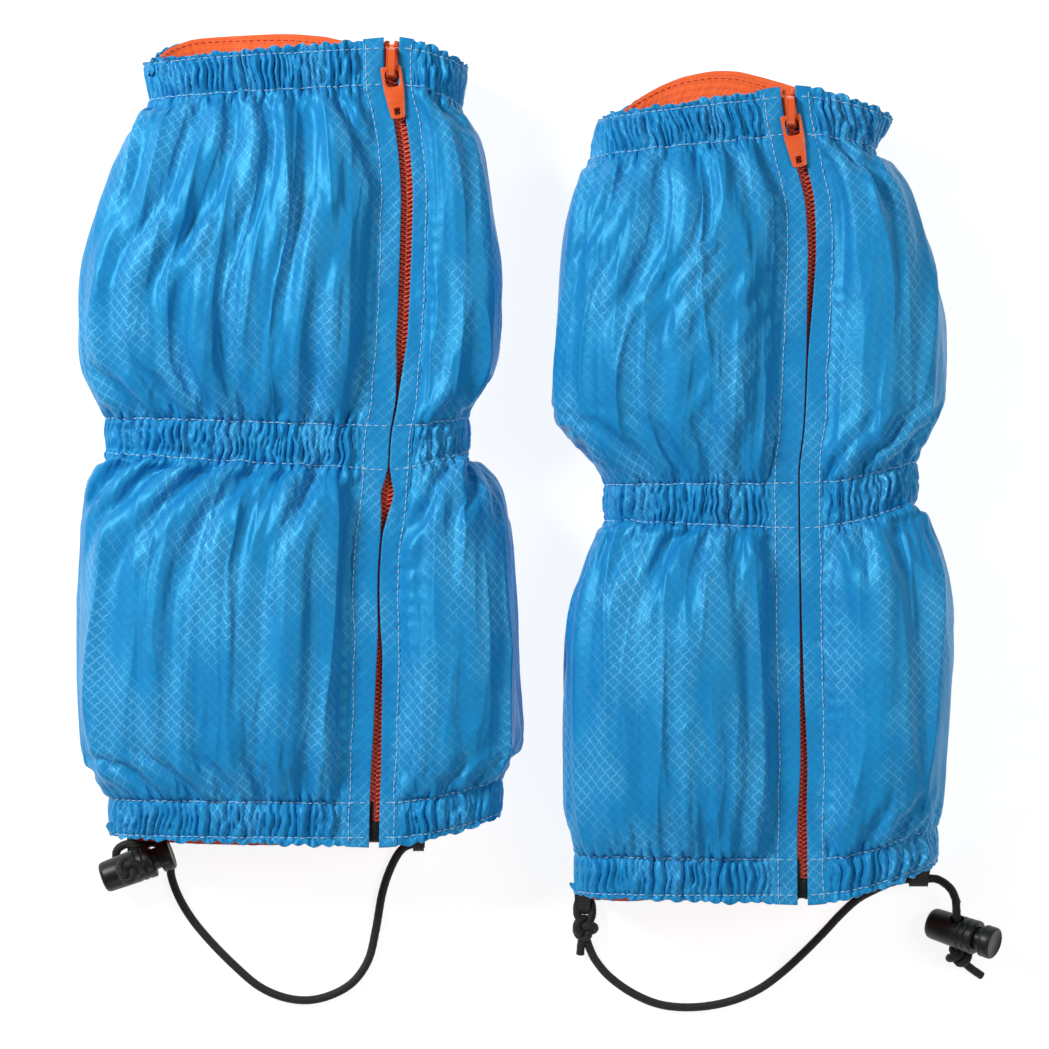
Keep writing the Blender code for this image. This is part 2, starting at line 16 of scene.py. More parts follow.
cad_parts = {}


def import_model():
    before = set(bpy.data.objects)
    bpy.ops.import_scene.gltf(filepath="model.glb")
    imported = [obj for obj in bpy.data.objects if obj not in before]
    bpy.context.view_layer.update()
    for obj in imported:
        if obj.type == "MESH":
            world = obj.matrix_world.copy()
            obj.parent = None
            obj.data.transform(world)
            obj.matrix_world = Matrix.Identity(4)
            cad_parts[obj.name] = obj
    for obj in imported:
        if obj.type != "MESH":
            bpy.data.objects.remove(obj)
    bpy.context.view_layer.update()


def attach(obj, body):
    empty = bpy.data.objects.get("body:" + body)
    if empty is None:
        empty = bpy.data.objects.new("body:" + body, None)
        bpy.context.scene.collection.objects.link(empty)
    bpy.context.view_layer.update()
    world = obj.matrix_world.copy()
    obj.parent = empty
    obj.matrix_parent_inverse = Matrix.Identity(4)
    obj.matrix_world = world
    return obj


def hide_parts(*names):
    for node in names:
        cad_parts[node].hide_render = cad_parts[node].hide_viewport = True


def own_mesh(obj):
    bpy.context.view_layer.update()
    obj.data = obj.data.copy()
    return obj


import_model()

MM = 0.001
PAIR_SHIFT = np.array([-0.2, 4.8, 0.0])

# Where the camera stands, in world millimetres, and what it sees.
CAMERA_PLACE = (4.2, -21.0, 1800.0)
CAMERA_LENS = 132.2

# The fabric's section, as in the CAD.
SUNK = 0.8
SECTION_POWER = 3.2
ZIP_TOP = 57.3
FLAT_REACH = 42.0

# The fabric's grid and its folds.
COLUMNS = 760
CUFF_STEP, PANEL_STEP = 0.75, 1.5
GIRTH_EASE = 1.05
RUFFLE_PITCH = 4.5
RUFFLE = 3.8
FRILL_STITCH = 4.0  # from an open rim to its row of stitches
# Families of creases: how far apart, how long and how high they are.
CREASES = ((30.0, 300.0, 2.7), (16.0, 170.0, 1.5), (9.0, 60.0, 0.5), (5.0, 20.0, 0.2))
LOBES = 2.5  # how deep the long soft folds between the cuffs are
LINING_SLACK, LINING_SHORT, LINING_PROUD = 3.0, 2.4, 0.5
SECTION_FINE = 900  # points round a section before they are spaced evenly

# The cloth simulation: its grid, how much wider and longer the cloth is than its place, how stiffly it
# stretches, shears and bends, what pushes and holds it, and how far it may go.
SIM_CELL = 3.2
SIM_COLUMNS = 170
SIM_STEPS = 260
SIM_EASE = 1.05
SIM_MOST_EASE = 1.17
SIM_LENGTH_EASE = 1.012
SIM_FIRM, SIM_SHEAR, SIM_BEND = 0.9, 0.25, 0.12
SIM_PRESSURE = 0.02
SIM_HOME = 0.004
SIM_SPEED_KEPT = 0.93
# The first bulges: their height, and their size across and along the fabric.
SIM_PUSHES = ((1.2, 13, 160), (0.8, 27, 200), (0.3, 20, 35))
SIM_FLOOR, SIM_SIDE_ROOM = 0.4, 0.8
SIM_FARTHEST = 6.5

# The elastic bands: points round them, and how deep their two faces lie.
BAND_COLUMNS, BAND_INSETS = 200, (3.4, 4.0)

# The zip and the thread.
COIL_PITCH = 2.05
COIL_CENTRE, COIL_REACH, COIL_WIRE = 1.25, 1.7, 0.5
COIL_Z, COIL_HALF_HIGH = 53.1, 0.68
UPPER_PLATE, LOWER_PLATE = (54.5, 55.7), (49.7, 50.9)  # the slider's plates, low and high
CROWN_HALF = 1.95
PULL_HINGE = (0.0, -2.5, 58.45)  # from the slider
# A tape's section: distance from the zip's line, and height.
TAPE_SECTION = (
    (1.3, 51.3), (1.15, 51.55), (1.3, 51.8), (4.0, 51.85), (8.5, 51.8), (13.0, 51.8), (13.2, 51.55),
    (13.0, 51.3),
)
SIDES = (("pin_side", -1), ("box_side", 1))
THREAD = 0.5
STITCH_PITCH, STITCH_LONG, STITCH_PROUD = 3.2, 2.6, 0.12

# How far a layer of fabric lies inside the outer surface, and how much it shares the ruffles, in the
# panels and at the two open rims.
Layer = namedtuple("Layer", "inset rim_inset calm rim_calm")
OUTER = Layer(0.0, 0.0, 1.0, 1.0)
INNER = Layer(5.6, 4.2, 0.1, 0.0)
DEEPEST = 3.1  # how far a fold may go inwards
HEM_TURN = ((0.3, -0.2), (0.7, 0.3), (1.6, 1.6), (3.3, 3.6))  # how the shell's edge turns in: depth, back

# Cord, knots and lock.
CORD = 4.0
BARREL_LONG, BARREL_R, BORE_DEEP, STEM_LONG = 25.0, 8.0, 22.0, 16.0
HOLE_FROM_FOOT, CORD_HOLE = 14.5, 3.3
PRESS, GAP, KNOT = 3.0, 0.3, 5.6
KNOT_LINE = 4.7  # the outer radius of the cord's centreline in a knot
SPRING_R, SPRING_WIRE, SPRING_TURNS, SPRING_GAP = 3.4, 0.4, 4, 0.8

# The right gaiter's anchor knot, and the loop, ends and tail of cord that stick out of its knots.
ANCHOR = np.array([32.4, -213.8, 5.9])
ANCHOR_LEAN = 25.0
ANCHOR_LOOP = (
    (0.5, 1.0, 0.5), (-3.2, 6.0, 0.6), (-3.0, 12.0, -0.6), (0.0, 15.2, -1.2), (3.0, 12.0, -0.8),
    (3.4, 6.0, 0.2), (1.0, 1.0, 0.0),
)
ANCHOR_ENDS = ((-0.5, -2.0, -0.5), (-1.5, -7.0, -2.0), (-2.0, -12.5, -3.6))
END_TAIL = ((0.0, 0.0, 0.0), (6.0, -5.0, -1.5), (11.0, -8.5, -3.5))

# The webbing loops: name, centre of the fold, reach into the hem, and width at the cord and at the hem.
WEBBING_R, WEBBING_THICK = 3.2, 1.1
WEBBINGS = (
    ("left_webbing_loop_a", (-176.6, -174.6, 5.2), 12.0, 7.6, 8.4),
    ("left_webbing_loop_b", (-45.0, -174.5, 5.2), 12.0, 5.0, 7.0),
    ("right_webbing_loop_a", (31.5, -204.0, 4.6), 16.0, 7.0, 8.5),
    ("right_webbing_loop_b", (186.8, -189.9, 16.6), 11.0, 8.5, 13.0),
)

# The ripstop: its diamonds from corner to corner, and its blues.
DIAMOND = 5.2
BLUE_DEEP = (0.0, 0.15, 0.43)
BLUE = (0.001, 0.26, 0.60)
# The pale blue is the fabric's own pale mottle, and also its painted sheen and the painted highlights on its
# grid.
BLUE_PALE = (0.13, 0.52, 0.86)
WAVE = 0.314  # the scale of a Wave texture whose bands repeat once in each unit

# The floor in metres, and the lights: name, place, width and height, power.
FLOOR_HALF, FLOOR_DOWN = 12.0, 0.0002
LIGHTS = (
    ("key", (-1.25, 0.75, 1.25), (0.35, 0.6), 34.0),
    ("fill", (1.1, 0.2, 1.5), (0.4, 1.0), 9.0),
    ("rake", (0.2, -1.6, 0.9), (0.9, 0.3), 4.0),
)

Row = namedtuple("Row", "left_x left_y zip_y right_x right_y height")
Gaiter = namedtuple(
    "Gaiter",
    "name seed rows back hem_back zip_head zip_foot wander slit seams slider_y pull_lean "
    "lock_foot lock_turn lock_rise lock_roll cord",
)

LEFT = Gaiter(
    name="left",
    seed=10,
    rows=(
        Row(-170, 185, 194, -22, 184, 58),
        Row(-167, 168, 173.5, -25, 166, 58),
        Row(-177, 147, 148, -17, 148, 62),
        Row(-188, 117, 118, -12, 118, 66),
        Row(-198, 83, 83, -7, 84, 67),
        Row(-198, 52, 52, -9, 52, 65),
        Row(-187, 23, 18.8, -22, 23, 58),
        Row(-186.5, 6, -1.1, -22, 7, 58),
        Row(-195, -8, -14, -9, -8, 63),
        Row(-198, -40, -42, -2, -40, 66),
        Row(-199.5, -90, -90, 0, -90, 67),
        Row(-198, -128, -130, 2.5, -124, 64),
        Row(-186, -150.5, -151.8, -7, -142, 58),
        Row(-185, -168, -171.5, -7, -159, 58),
    ),
    # How far the back of the calf's rim reaches past the front, from the left side (-1) to the right (1).
    back=(
        (-1, 1), (-0.975, 5), (-0.87, 11), (-0.68, 13.5), (-0.22, 12.8), (0.08, 10), (0.23, 7), (0.6, 3),
        (1, 0),
    ),
    # The same for the hem.
    hem_back=((-1, 0), (-0.86, 4.4), (-0.5, 5.6), (-0.2, 5.2), (0.05, 3.2), (0.5, 2.2), (1, 0)),
    zip_head=(-56.0, 183.0),
    zip_foot=(-63.6, -165.0),
    # How far the zip strays from its straight line, to the right, at each place along Y.
    wander=(
        (195, 0.0), (175, 0.4), (159, 4.2), (140, 7.2), (119, 8.6), (77, 8.2), (31, 6.0),
        (13, 3.4), (-12, 2.6), (-33, 0.2), (-51, -0.5), (-87, 0.7), (-134, 0.3), (-150, 0.0), (-175, 0.0),
    ),
    # Half the gap between the plackets.
    slit=(
        (195, 3.6), (183, 3.2), (160, 2.8), (120, 2.7), (60, 2.5), (45, 1.5), (30, 0.6), (2, 0.4),
        (-4, 1.2), (-12, 2.8), (-22, 1.5), (-33, 0.5), (-70, 0.6), (-85, 1.3), (-120, 1.9), (-142, 2.3),
        (-175, 2.3),
    ),
    seams=(11.5, 8.8),
    slider_y=183.0,
    pull_lean=10.0,
    lock_foot=(-191.3, -189.9, 13.4),
    lock_turn=20.4,
    lock_rise=0.0,
    lock_roll=90.0,
    cord=(
        (-42.0, -174.5, 5.2), (-47.0, -174.5, 5.2), (-53.0, -177.5, 3.6), (-58.0, -186.0, 2.1),
        (-62.0, -198.0, 2.1), (-65.0, -215.0, 2.1), (-68.5, -229.0, 2.1), (-75.7, -239.4, 2.1),
        (-85.9, -245.4, 2.1), (-97.0, -247.8, 2.1), (-108.5, -246.3, 2.1), (-120.0, -241.0, 2.1),
        (-130.7, -231.9, 2.1), (-141.0, -221.6, 2.1), (-150.0, -211.0, 2.1), (-156.5, -200.5, 2.1),
        (-160.3, -190.5, 2.1), (-161.0, -183.0, 2.5), (-163.2, -177.0, 3.6), (-168.0, -174.2, 5.0),
        (-173.0, -174.6, 5.2), (-180.5, -174.6, 5.2), (-185.0, -177.0, 4.4), (-186.0, -181.0, 2.7),
        (-182.4, -184.6, 2.1), (-179.0, -184.9, 3.3), (-177.7, -184.9, 6.6), (-177.7, -184.9, 10.0),
        (-177.7, -184.9, 16.0),
    ),
)
RIGHT = Gaiter(
    name="right",
    seed=50,
    rows=(
        Row(39, 160, 172, 173, 160, 58),
        Row(35, 142, 151, 165, 146, 58),
        Row(29, 127, 130, 178, 127, 62),
        Row(23.5, 103, 104, 186, 103, 66),
        Row(20.5, 63, 66, 196.5, 63, 67),
        Row(18, 28, 28, 195.5, 33, 65),
        Row(42, -7.5, -7, 183.5, 3.5, 58),
        Row(42, -24, -27.4, 183.5, -15, 58),
        Row(33, -46, -44, 195, -43, 63),
        Row(24.5, -72, -72, 200, -72, 66),
        Row(23.5, -110, -112, 199, -110, 67),
        Row(24, -155, -155, 195, -145, 64),
        Row(28.3, -176, -177.6, 192.5, -162, 58),
        Row(28.3, -195, -197.5, 193.5, -180, 58),
    ),
    back=(
        (-1, 0), (-0.86, 5), (-0.72, 10), (-0.55, 14.5), (-0.39, 17), (-0.23, 17.6), (-0.06, 16.2),
        (0.1, 12.5), (0.33, 6.5), (0.6, 3), (1, 0),
    ),
    hem_back=((-1, 0), (-0.9, 4.2), (-0.7, 5.6), (-0.55, 4.6), (-0.3, 3), (0.5, 2.4), (1, 0)),
    zip_head=(124.6, 162.0),
    zip_foot=(130.2, -190.7),
    wander=(
        (173, -1.0), (162, 0.0), (153, 1.4), (140, 4.0), (118, 8.4), (99, 8.9), (75, 7.6),
        (50, 6.0), (20, 4.2), (-5, 1.4), (-49, 1.2), (-105, 1.3), (-131, 1.6), (-160, 0.4), (-200, 0.0),
    ),
    slit=(
        (180, 3.6), (166, 3.2), (150, 2.7), (121, 2.2), (97, 1.85), (74, 1.3), (62, 0.8), (48, 0.45),
        (20, 0.4), (-10, 0.4), (-60, 0.5), (-90, 0.8), (-120, 1.4), (-150, 1.9), (-172, 2.3), (-205, 2.35),
    ),
    seams=(11.0, 9.2),
    slider_y=161.0,
    pull_lean=10.0,
    lock_foot=(193.5, -211.0, 6.5),
    lock_turn=-16.3,
    lock_rise=33.0,
    lock_roll=38.0,
    cord=(
        (33.6, -220.0, 3.6), (35.2, -224.5, 2.4), (37.8, -229.5, 2.1), (43.8, -236.6, 2.1),
        (53.6, -243.8, 2.1), (64.9, -249.0, 2.1), (76.1, -251.0, 2.1), (89.0, -250.6, 2.1),
        (102.0, -247.8, 2.1), (113.9, -242.6, 2.1), (123.7, -235.6, 2.1), (133.5, -226.8, 2.1),
        (143.3, -217.0, 2.1), (151.7, -208.0, 2.1), (159.6, -200.6, 3.4), (167.0, -196.0, 6.8),
        (174.5, -192.0, 12.2), (182.0, -190.0, 16.0), (188.5, -189.9, 16.6), (195.5, -190.0, 17.2),
        (201.2, -194.0, 20.2), (203.8, -199.8, 21.2),
    ),
)


# ---------------------------------------------------------------- small tools


def world(points):
    """A gaiter's millimetres as world metres."""
    return (np.asarray(points, float) + PAIR_SHIFT) * MM


def linked(thing):
    """The object, now in the scene."""
    bpy.context.scene.collection.objects.link(thing)
    return thing


def mesh_object(name, points, faces, finish, uv):
    """A mesh from points in a gaiter's millimetres and equal-sided faces."""
    faces = np.asarray(faces, np.int32)
    mesh = bpy.data.meshes.new(name)
    mesh.vertices.add(len(points))
    mesh.vertices.foreach_set("co", world(points).astype(np.float32).ravel())
    mesh.loops.add(faces.size)
    mesh.loops.foreach_set("vertex_index", faces.ravel())
    mesh.polygons.add(len(faces))
    mesh.polygons.foreach_set("loop_start", np.arange(0, faces.size, faces.shape[1], dtype=np.int32))
    mesh.update(calc_edges=True)
    layer = mesh.uv_layers.new(name="cloth")
    layer.data.foreach_set("uv", np.asarray(uv, np.float32)[faces.ravel()].ravel())
    mesh.shade_smooth()
    mesh.materials.append(finish)
    return linked(bpy.data.objects.new(name, mesh))


def settle(piece, body, slot, *nodes):
    """The piece rides on its body and stands for CAD nodes, which are hidden; the slot is not used."""
    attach(piece, body)
    if nodes:
        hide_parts(*nodes)
    return piece


def grid_faces(rows, columns, wrap=False):
    """Quads of a grid of points, row after row, joined round if wrap is true."""
    across = columns if wrap else columns - 1
    i, j = np.meshgrid(np.arange(rows - 1), np.arange(across), indexing="ij")
    k = (j + 1) % columns
    a, b = i * columns + j, i * columns + k
    c, d = (i + 1) * columns + k, (i + 1) * columns + j
    return np.stack([a, d, c, b], axis=-1).reshape(-1, 4)


def paired(first, second):
    """Pairs of two arrays' values, each array repeated to fill the other's shape."""
    return np.stack(np.broadcast_arrays(first, second), axis=-1)


def grid_object(name, grid, uv, finish, wrap=False, inside_out=False):
    """A piece whose points are a grid, joined round if wrap is true."""
    faces = grid_faces(*grid.shape[:2], wrap)
    if inside_out:
        faces = faces[:, ::-1]
    return mesh_object(name, grid.reshape(-1, 3), faces, finish, uv.reshape(-1, 2))


def monotone(x, xs, ys):
    """The cubic through (xs, ys) that never overshoots them. xs increases."""
    xs, ys = np.asarray(xs, float), np.asarray(ys, float)
    step = np.diff(xs)
    slope = np.diff(ys) / step
    tangent = np.zeros(len(xs))
    same = slope[:-1] * slope[1:] > 0
    tangent[1:-1][same] = 2 * slope[:-1][same] * slope[1:][same] / (slope[:-1] + slope[1:])[same]
    i = np.clip(np.searchsorted(xs, x, side="right") - 1, 0, len(xs) - 2)
    t = np.clip((x - xs[i]) / step[i], 0, 1)
    return (
        ys[i] * (1 + 2 * t) * (1 - t) ** 2
        + ys[i + 1] * t * t * (3 - 2 * t)
        + step[i] * (tangent[i] * t * (1 - t) ** 2 - tangent[i + 1] * t * t * (1 - t))
    )


def table(pairs, y):
    """A table of (place along Y, value), read smoothly at y."""
    places, values = zip(*sorted(pairs))
    return monotone(y, places, values)


def noise(x, y, seed):
    """Smooth gradient noise over a plane, about -1 to 1."""
    turns = np.random.default_rng(seed).uniform(0, 2 * pi, (256, 256))
    x, y = np.broadcast_arrays(np.asarray(x, float), np.asarray(y, float))
    left, low = np.floor(x).astype(int), np.floor(y).astype(int)
    u, v = x - left, y - low
    smooth_u, smooth_v = u ** 3 * (u * (6 * u - 15) + 10), v ** 3 * (v * (6 * v - 15) + 10)
    corner = {}
    for i in (0, 1):
        for j in (0, 1):
            turn = turns[(left + i) % 256, (low + j) % 256]
            corner[i, j] = np.cos(turn) * (u - i) + np.sin(turn) * (v - j)
    below = corner[0, 0] * (1 - smooth_u) + corner[1, 0] * smooth_u
    above = corner[0, 1] * (1 - smooth_u) + corner[1, 1] * smooth_u
    return 1.6 * (below * (1 - smooth_v) + above * smooth_v)


def smoothstep(low, high, x):
    """0 at low, 1 at high and smooth between; low may be the larger."""
    t = np.clip((x - low) / (high - low), 0, 1)
    return t * t * (3 - 2 * t)


def signed_power(value, power):
    """The power of the value's size, with the value's sign."""
    return np.sign(value) * np.abs(value) ** power


def distances(points):
    """How far along a polyline each of its points is."""
    return np.concatenate([[0], np.cumsum(np.linalg.norm(np.diff(points, axis=0), axis=1))])


def even_run(points, count):
    """count points at an even spacing along a polyline."""
    along = distances(points)
    at = np.linspace(0, along[-1], count)
    return np.stack([np.interp(at, along, points[:, k]) for k in range(points.shape[1])], axis=1)


def smooth_route(points, spacing):
    """Points at an even spacing along the Catmull-Rom curve through a route."""
    p = np.asarray(points, float)
    p = np.concatenate([[2 * p[0] - p[1]], p, [2 * p[-1] - p[-2]]])
    t = np.linspace(0, 1, 24, endpoint=False)[:, None]
    fine = []
    for a, b, c, d in zip(p, p[1:], p[2:], p[3:]):
        fine.append(
            b + (c - a) * t / 2 + (a - 2.5 * b + 2 * c - d / 2) * t * t
            + (1.5 * b - a / 2 - 1.5 * c + d / 2) * t ** 3
        )
    fine = np.concatenate([*fine, [p[-2]]])
    return even_run(fine, max(3, round(run_length(fine) / spacing) + 1))


def run_length(points):
    """A polyline's length."""
    return float(np.linalg.norm(np.diff(np.asarray(points), axis=0), axis=1).sum())


def carried_frames(points):
    """Side and up at each point of a curve, carried along without twist."""
    tangent = np.gradient(points, axis=0)
    tangent /= np.linalg.norm(tangent, axis=1, keepdims=True)
    up = np.array([0.0, 0.0, 1.0])
    if abs(up @ tangent[0]) > 0.9:
        up = np.array([1.0, 0.0, 0.0])
    ups = []
    for t in tangent:
        up = up - (up @ t) * t
        up /= np.linalg.norm(up)
        ups.append(up)
    ups = np.array(ups)
    return np.cross(tangent, ups), ups


def tube(points, radius, sides):
    """Points, side quads, end triangles and (round, along) coordinates of a closed tube. radius is a
    number or a function of (angle, distance along)."""
    points = np.asarray(points, float)
    side, up = carried_frames(points)
    along = distances(points)
    angle = np.arange(sides) * 2 * pi / sides
    if callable(radius):
        reach = radius(angle[None, :], along[:, None])
    else:
        reach = np.full((len(points), sides), radius)
    ring = np.cos(angle)[None, :, None] * side[:, None] + np.sin(angle)[None, :, None] * up[:, None]
    made = (points[:, None] + reach[..., None] * ring).reshape(-1, 3)
    uv = paired(angle[None, :] / (2 * pi), along[:, None]).reshape(-1, 2)
    first, last = np.full(sides, len(made)), np.full(sides, len(made) + 1)
    made = np.concatenate([made, points[:1], points[-1:]])
    uv = np.concatenate([uv, [[0.5, 0.0], [0.5, along[-1]]]])
    k = np.arange(sides)
    after = (k + 1) % sides
    end = (len(points) - 1) * sides
    head = np.stack([k, after, first], axis=1)
    tail = np.stack([end + after, end + k, last], axis=1)
    return made, grid_faces(len(points), sides, wrap=True), np.concatenate([head, tail]), uv


def tubes_object(name, runs, finish):
    """One mesh of several closed tubes, each given as (points, radius, sides)."""
    points, faces, uvs, start = [], [], [], 0
    for route, radius, sides in runs:
        made, quads, caps, uv = tube(route, radius, sides)
        points.append(made)
        faces += [*(quads + start).tolist(), *(caps + start).tolist()]
        uvs.append(uv)
        start += len(made)
    mesh = bpy.data.meshes.new(name)
    mesh.from_pydata(world(np.concatenate(points)).tolist(), [], faces)
    layer = mesh.uv_layers.new(name="cloth")
    corners = np.array([corner for face in faces for corner in face])
    layer.data.foreach_set("uv", np.concatenate(uvs)[corners].astype(np.float32).ravel())
    mesh.shade_smooth()
    mesh.materials.append(finish)
    return linked(bpy.data.objects.new(name, mesh))


# ---------------------------------------------------------------- materials


def new_material(name):
    made = bpy.data.materials.new(name)
    made.use_nodes = True
    tree = made.node_tree
    return made, tree, tree.nodes["Principled BSDF"]


def connect(tree, node, inputs):
    """Links or sets a node's inputs by name or number."""
    for key, value in inputs.items():
        if isinstance(value, bpy.types.NodeSocket):
            tree.links.new(value, node.inputs[key])
        else:
            node.inputs[key].default_value = value


def add(tree, kind, inputs=None, **settings):
    """A node with its settings and its inputs."""
    node = tree.nodes.new(kind)
    for key, value in settings.items():
        setattr(node, key, value)
    connect(tree, node, inputs or {})
    return node


def calc(tree, operation, a, b=0.0, c=0.0):
    return add(tree, "ShaderNodeMath", {0: a, 1: b, 2: c}, operation=operation).outputs[0]


def times(tree, a, b):
    return calc(tree, "MULTIPLY", a, b)


def total_of(tree, first, *others):
    """The sum of several values."""
    for other in others:
        first = calc(tree, "ADD", first, other)
    return first


def grain(tree, where, scale, detail=2.0, roughness=0.5):
    inputs = {"Vector": where, "Scale": scale, "Detail": detail, "Roughness": roughness}
    return add(tree, "ShaderNodeTexNoise", inputs).outputs["Fac"]


def stripes(tree, where, scale, distortion, way):
    """Soft stripes that follow one another along X or Y."""
    inputs = {"Vector": where, "Scale": scale, "Distortion": distortion}
    return add(tree, "ShaderNodeTexWave", inputs, bands_direction=way).outputs["Fac"]


def zigzag(tree, value):
    """0 to 0.5 and back for each whole step of the value."""
    return calc(tree, "PINGPONG", value, 0.5)


def mix(tree, factor, first, second):
    """A colour between two."""
    colours = [
        value if isinstance(value, bpy.types.NodeSocket) else (*value, 1.0)
        for value in (first, second)
    ]
    return add(
        tree, "ShaderNodeMix", {0: factor, 6: colours[0], 7: colours[1]}, data_type="RGBA"
    ).outputs[2]


def remap(tree, value, low, high, start=0.0, end=1.0):
    """The value's stretch from start to end, laid over low to high and held there beyond it."""
    inputs = {"Value": value, "From Min": start, "From Max": end, "To Min": low, "To Max": high}
    return add(tree, "ShaderNodeMapRange", inputs).outputs["Result"]


def bump(tree, shader, height, strength, distance):
    node = add(tree, "ShaderNodeBump", {"Height": height, "Strength": strength, "Distance": distance})
    tree.links.new(node.outputs["Normal"], shader.inputs["Normal"])


def cloth_uv(tree):
    """The fabric's own millimetres, as (round, along)."""
    return add(tree, "ShaderNodeUVMap", uv_map="cloth").outputs["UV"]


def object_place(tree):
    return add(tree, "ShaderNodeTexCoord").outputs["Object"]


def ripstop_material():
    """Azure polyamide with an embossed grid of diamonds, and painted sheen: pale patches, in which the grid's
    lines are painted paler still as painted highlights.
    """
    made, tree, shader = new_material("azure ripstop")
    uv = cloth_uv(tree)
    s, t = add(tree, "ShaderNodeSeparateXYZ", {0: uv}).outputs[:2]
    bowed = total_of(tree, s, times(tree, calc(tree, "SINE", times(tree, t, 4 * pi / DIAMOND)), 0.3))
    lines = [
        zigzag(tree, times(tree, calc(tree, way, bowed, t), 1 / DIAMOND))
        for way in ("ADD", "SUBTRACT")
    ]
    long_uv = add(
        tree, "ShaderNodeVectorMath", {0: uv, 1: (1.0, 0.4, 1.0)}, operation="MULTIPLY"
    ).outputs["Vector"]
    # Patches of painted sheen: the fabric is painted paler in them, and the grid's lines show more there.
    shows = remap(tree, grain(tree, long_uv, 0.045, 2.0, 0.55), 0.12, 1.0, 0.46, 0.62)
    line = times(tree, remap(tree, calc(tree, "MINIMUM", *lines), 1.0, 0.0, 0.02, 0.09), shows)
    threads = total_of(tree, stripes(tree, uv, 1.3, 0.4, "X"), stripes(tree, uv, 1.3, 0.4, "Y"))
    fleck = grain(tree, uv, 1.6, 3.0, 0.7)
    colour = mix(tree, grain(tree, uv, 0.05), BLUE_DEEP, BLUE)
    # A pale mottle of the fabric's own (fleck), painted sheen in patches (shows) and painted highlights on
    # the embossed lines (line).
    for pattern, share in ((fleck, 0.12), (shows, 0.15), (line, 0.75)):
        colour = mix(tree, times(tree, pattern, share), colour, BLUE_PALE)
    crumple = times(tree, grain(tree, uv, 0.28), 2.6)
    height = total_of(tree, line, crumple, times(tree, threads, 0.06), times(tree, fleck, 0.3))
    bump(tree, shader, height, 0.5, 0.00015)
    connect(tree, shader, {
        "Base Color": colour,
        "Roughness": total_of(tree, remap(tree, fleck, 0.38, 0.48), times(tree, line, -0.16)),
        "Specular IOR Level": 0.75,
        "Specular Tint": (0.15, 0.75, 1.0, 1.0),
        "Sheen Weight": 0.05,
        "Sheen Roughness": 0.4,
        "Sheen Tint": (0.35, 0.75, 1.0, 1.0),
    })
    return made


def lining_material():
    """Orange lining with rows of small stitch pits, sunk by the bump and painted darker as painted shade."""
    made, tree, shader = new_material("orange lining")
    uv = cloth_uv(tree)
    s, t = add(tree, "ShaderNodeSeparateXYZ", {0: uv}).outputs[:2]
    apart = total_of(tree, zigzag(tree, times(tree, s, 1 / 1.6)), zigzag(tree, times(tree, t, 1 / 2.6)))
    pit_relief_and_shade = remap(tree, apart, 1.0, 0.0, 0.18, 0.4)
    cloudy = grain(tree, uv, 0.12, 3.0)
    colour = mix(tree, cloudy, (0.85, 0.095, 0.008), (1.0, 0.18, 0.025))
    # The pits are painted darker: painted shade in each small recess, on top of their real relief.
    colour = mix(tree, times(tree, pit_relief_and_shade, 0.6), colour, (0.6, 0.05, 0.006))
    height = calc(tree, "SUBTRACT", grain(tree, uv, 1.2, 3.0), times(tree, pit_relief_and_shade, 0.8))
    bump(tree, shader, height, 0.5, 0.0003)
    rough = remap(tree, cloudy, 0.5, 0.7)
    connect(tree, shader, {"Base Color": colour, "Roughness": rough, "Sheen Weight": 0.2})
    return made


def woven_material(name, dark, pale, pitch, roughness, lift=0.0002):
    """Tape, webbing or elastic: ribs across two directions."""
    made, tree, shader = new_material(name)
    uv = cloth_uv(tree)
    scale = WAVE / pitch
    rib = times(tree, stripes(tree, uv, scale, 0.6, "X"), stripes(tree, uv, scale * 0.6, 0.6, "Y"))
    fuzz = grain(tree, uv, 2.0, 3.0)
    colour = mix(tree, times(tree, total_of(tree, rib, fuzz), 0.6), dark, pale)
    bump(tree, shader, total_of(tree, rib, times(tree, fuzz, 0.4)), 0.6, lift)
    rough = remap(tree, fuzz, roughness - 0.1, roughness + 0.1)
    connect(tree, shader, {"Base Color": colour, "Roughness": rough})
    return made


def cord_material():
    """Black braided cord: two families of yarns that cross."""
    made, tree, shader = new_material("black braid")
    turn, along = add(tree, "ShaderNodeSeparateXYZ", {0: cloth_uv(tree)}).outputs[:2]
    yarns = [
        zigzag(tree, calc(tree, way, times(tree, turn, 8.0), times(tree, along, 0.55)))
        for way in ("ADD", "SUBTRACT")
    ]
    braid = calc(tree, "MAXIMUM", *yarns)
    fuzz = grain(tree, object_place(tree), 2500.0)
    shade = times(tree, total_of(tree, braid, fuzz), 0.7)
    bump(tree, shader, total_of(tree, braid, times(tree, fuzz, 0.3)), 0.8, 0.0003)
    connect(tree, shader, {
        "Base Color": mix(tree, shade, (0.003, 0.004, 0.004), (0.024, 0.028, 0.027)),
        "Roughness": remap(tree, fuzz, 0.5, 0.75),
        "Specular IOR Level": 0.3,
        "Sheen Weight": 0.04,
    })
    return made


def moulded_material(name, dark, pale, roughness, coat=0.0, specular=0.5):
    """Moulded plastic or painted metal, with a slight orange peel and worn, paler spots."""
    made, tree, shader = new_material(name)
    place = object_place(tree)
    cloudy = grain(tree, place, 120.0, 3.0)
    bump(tree, shader, grain(tree, place, 900.0), 0.4, 0.00006)
    connect(tree, shader, {
        "Base Color": mix(tree, cloudy, dark, pale),
        "Roughness": remap(tree, cloudy, roughness - 0.07, roughness + 0.1),
        "Specular IOR Level": specular,
        "Coat Weight": coat,
        "Coat Roughness": 0.15,
    })
    return made


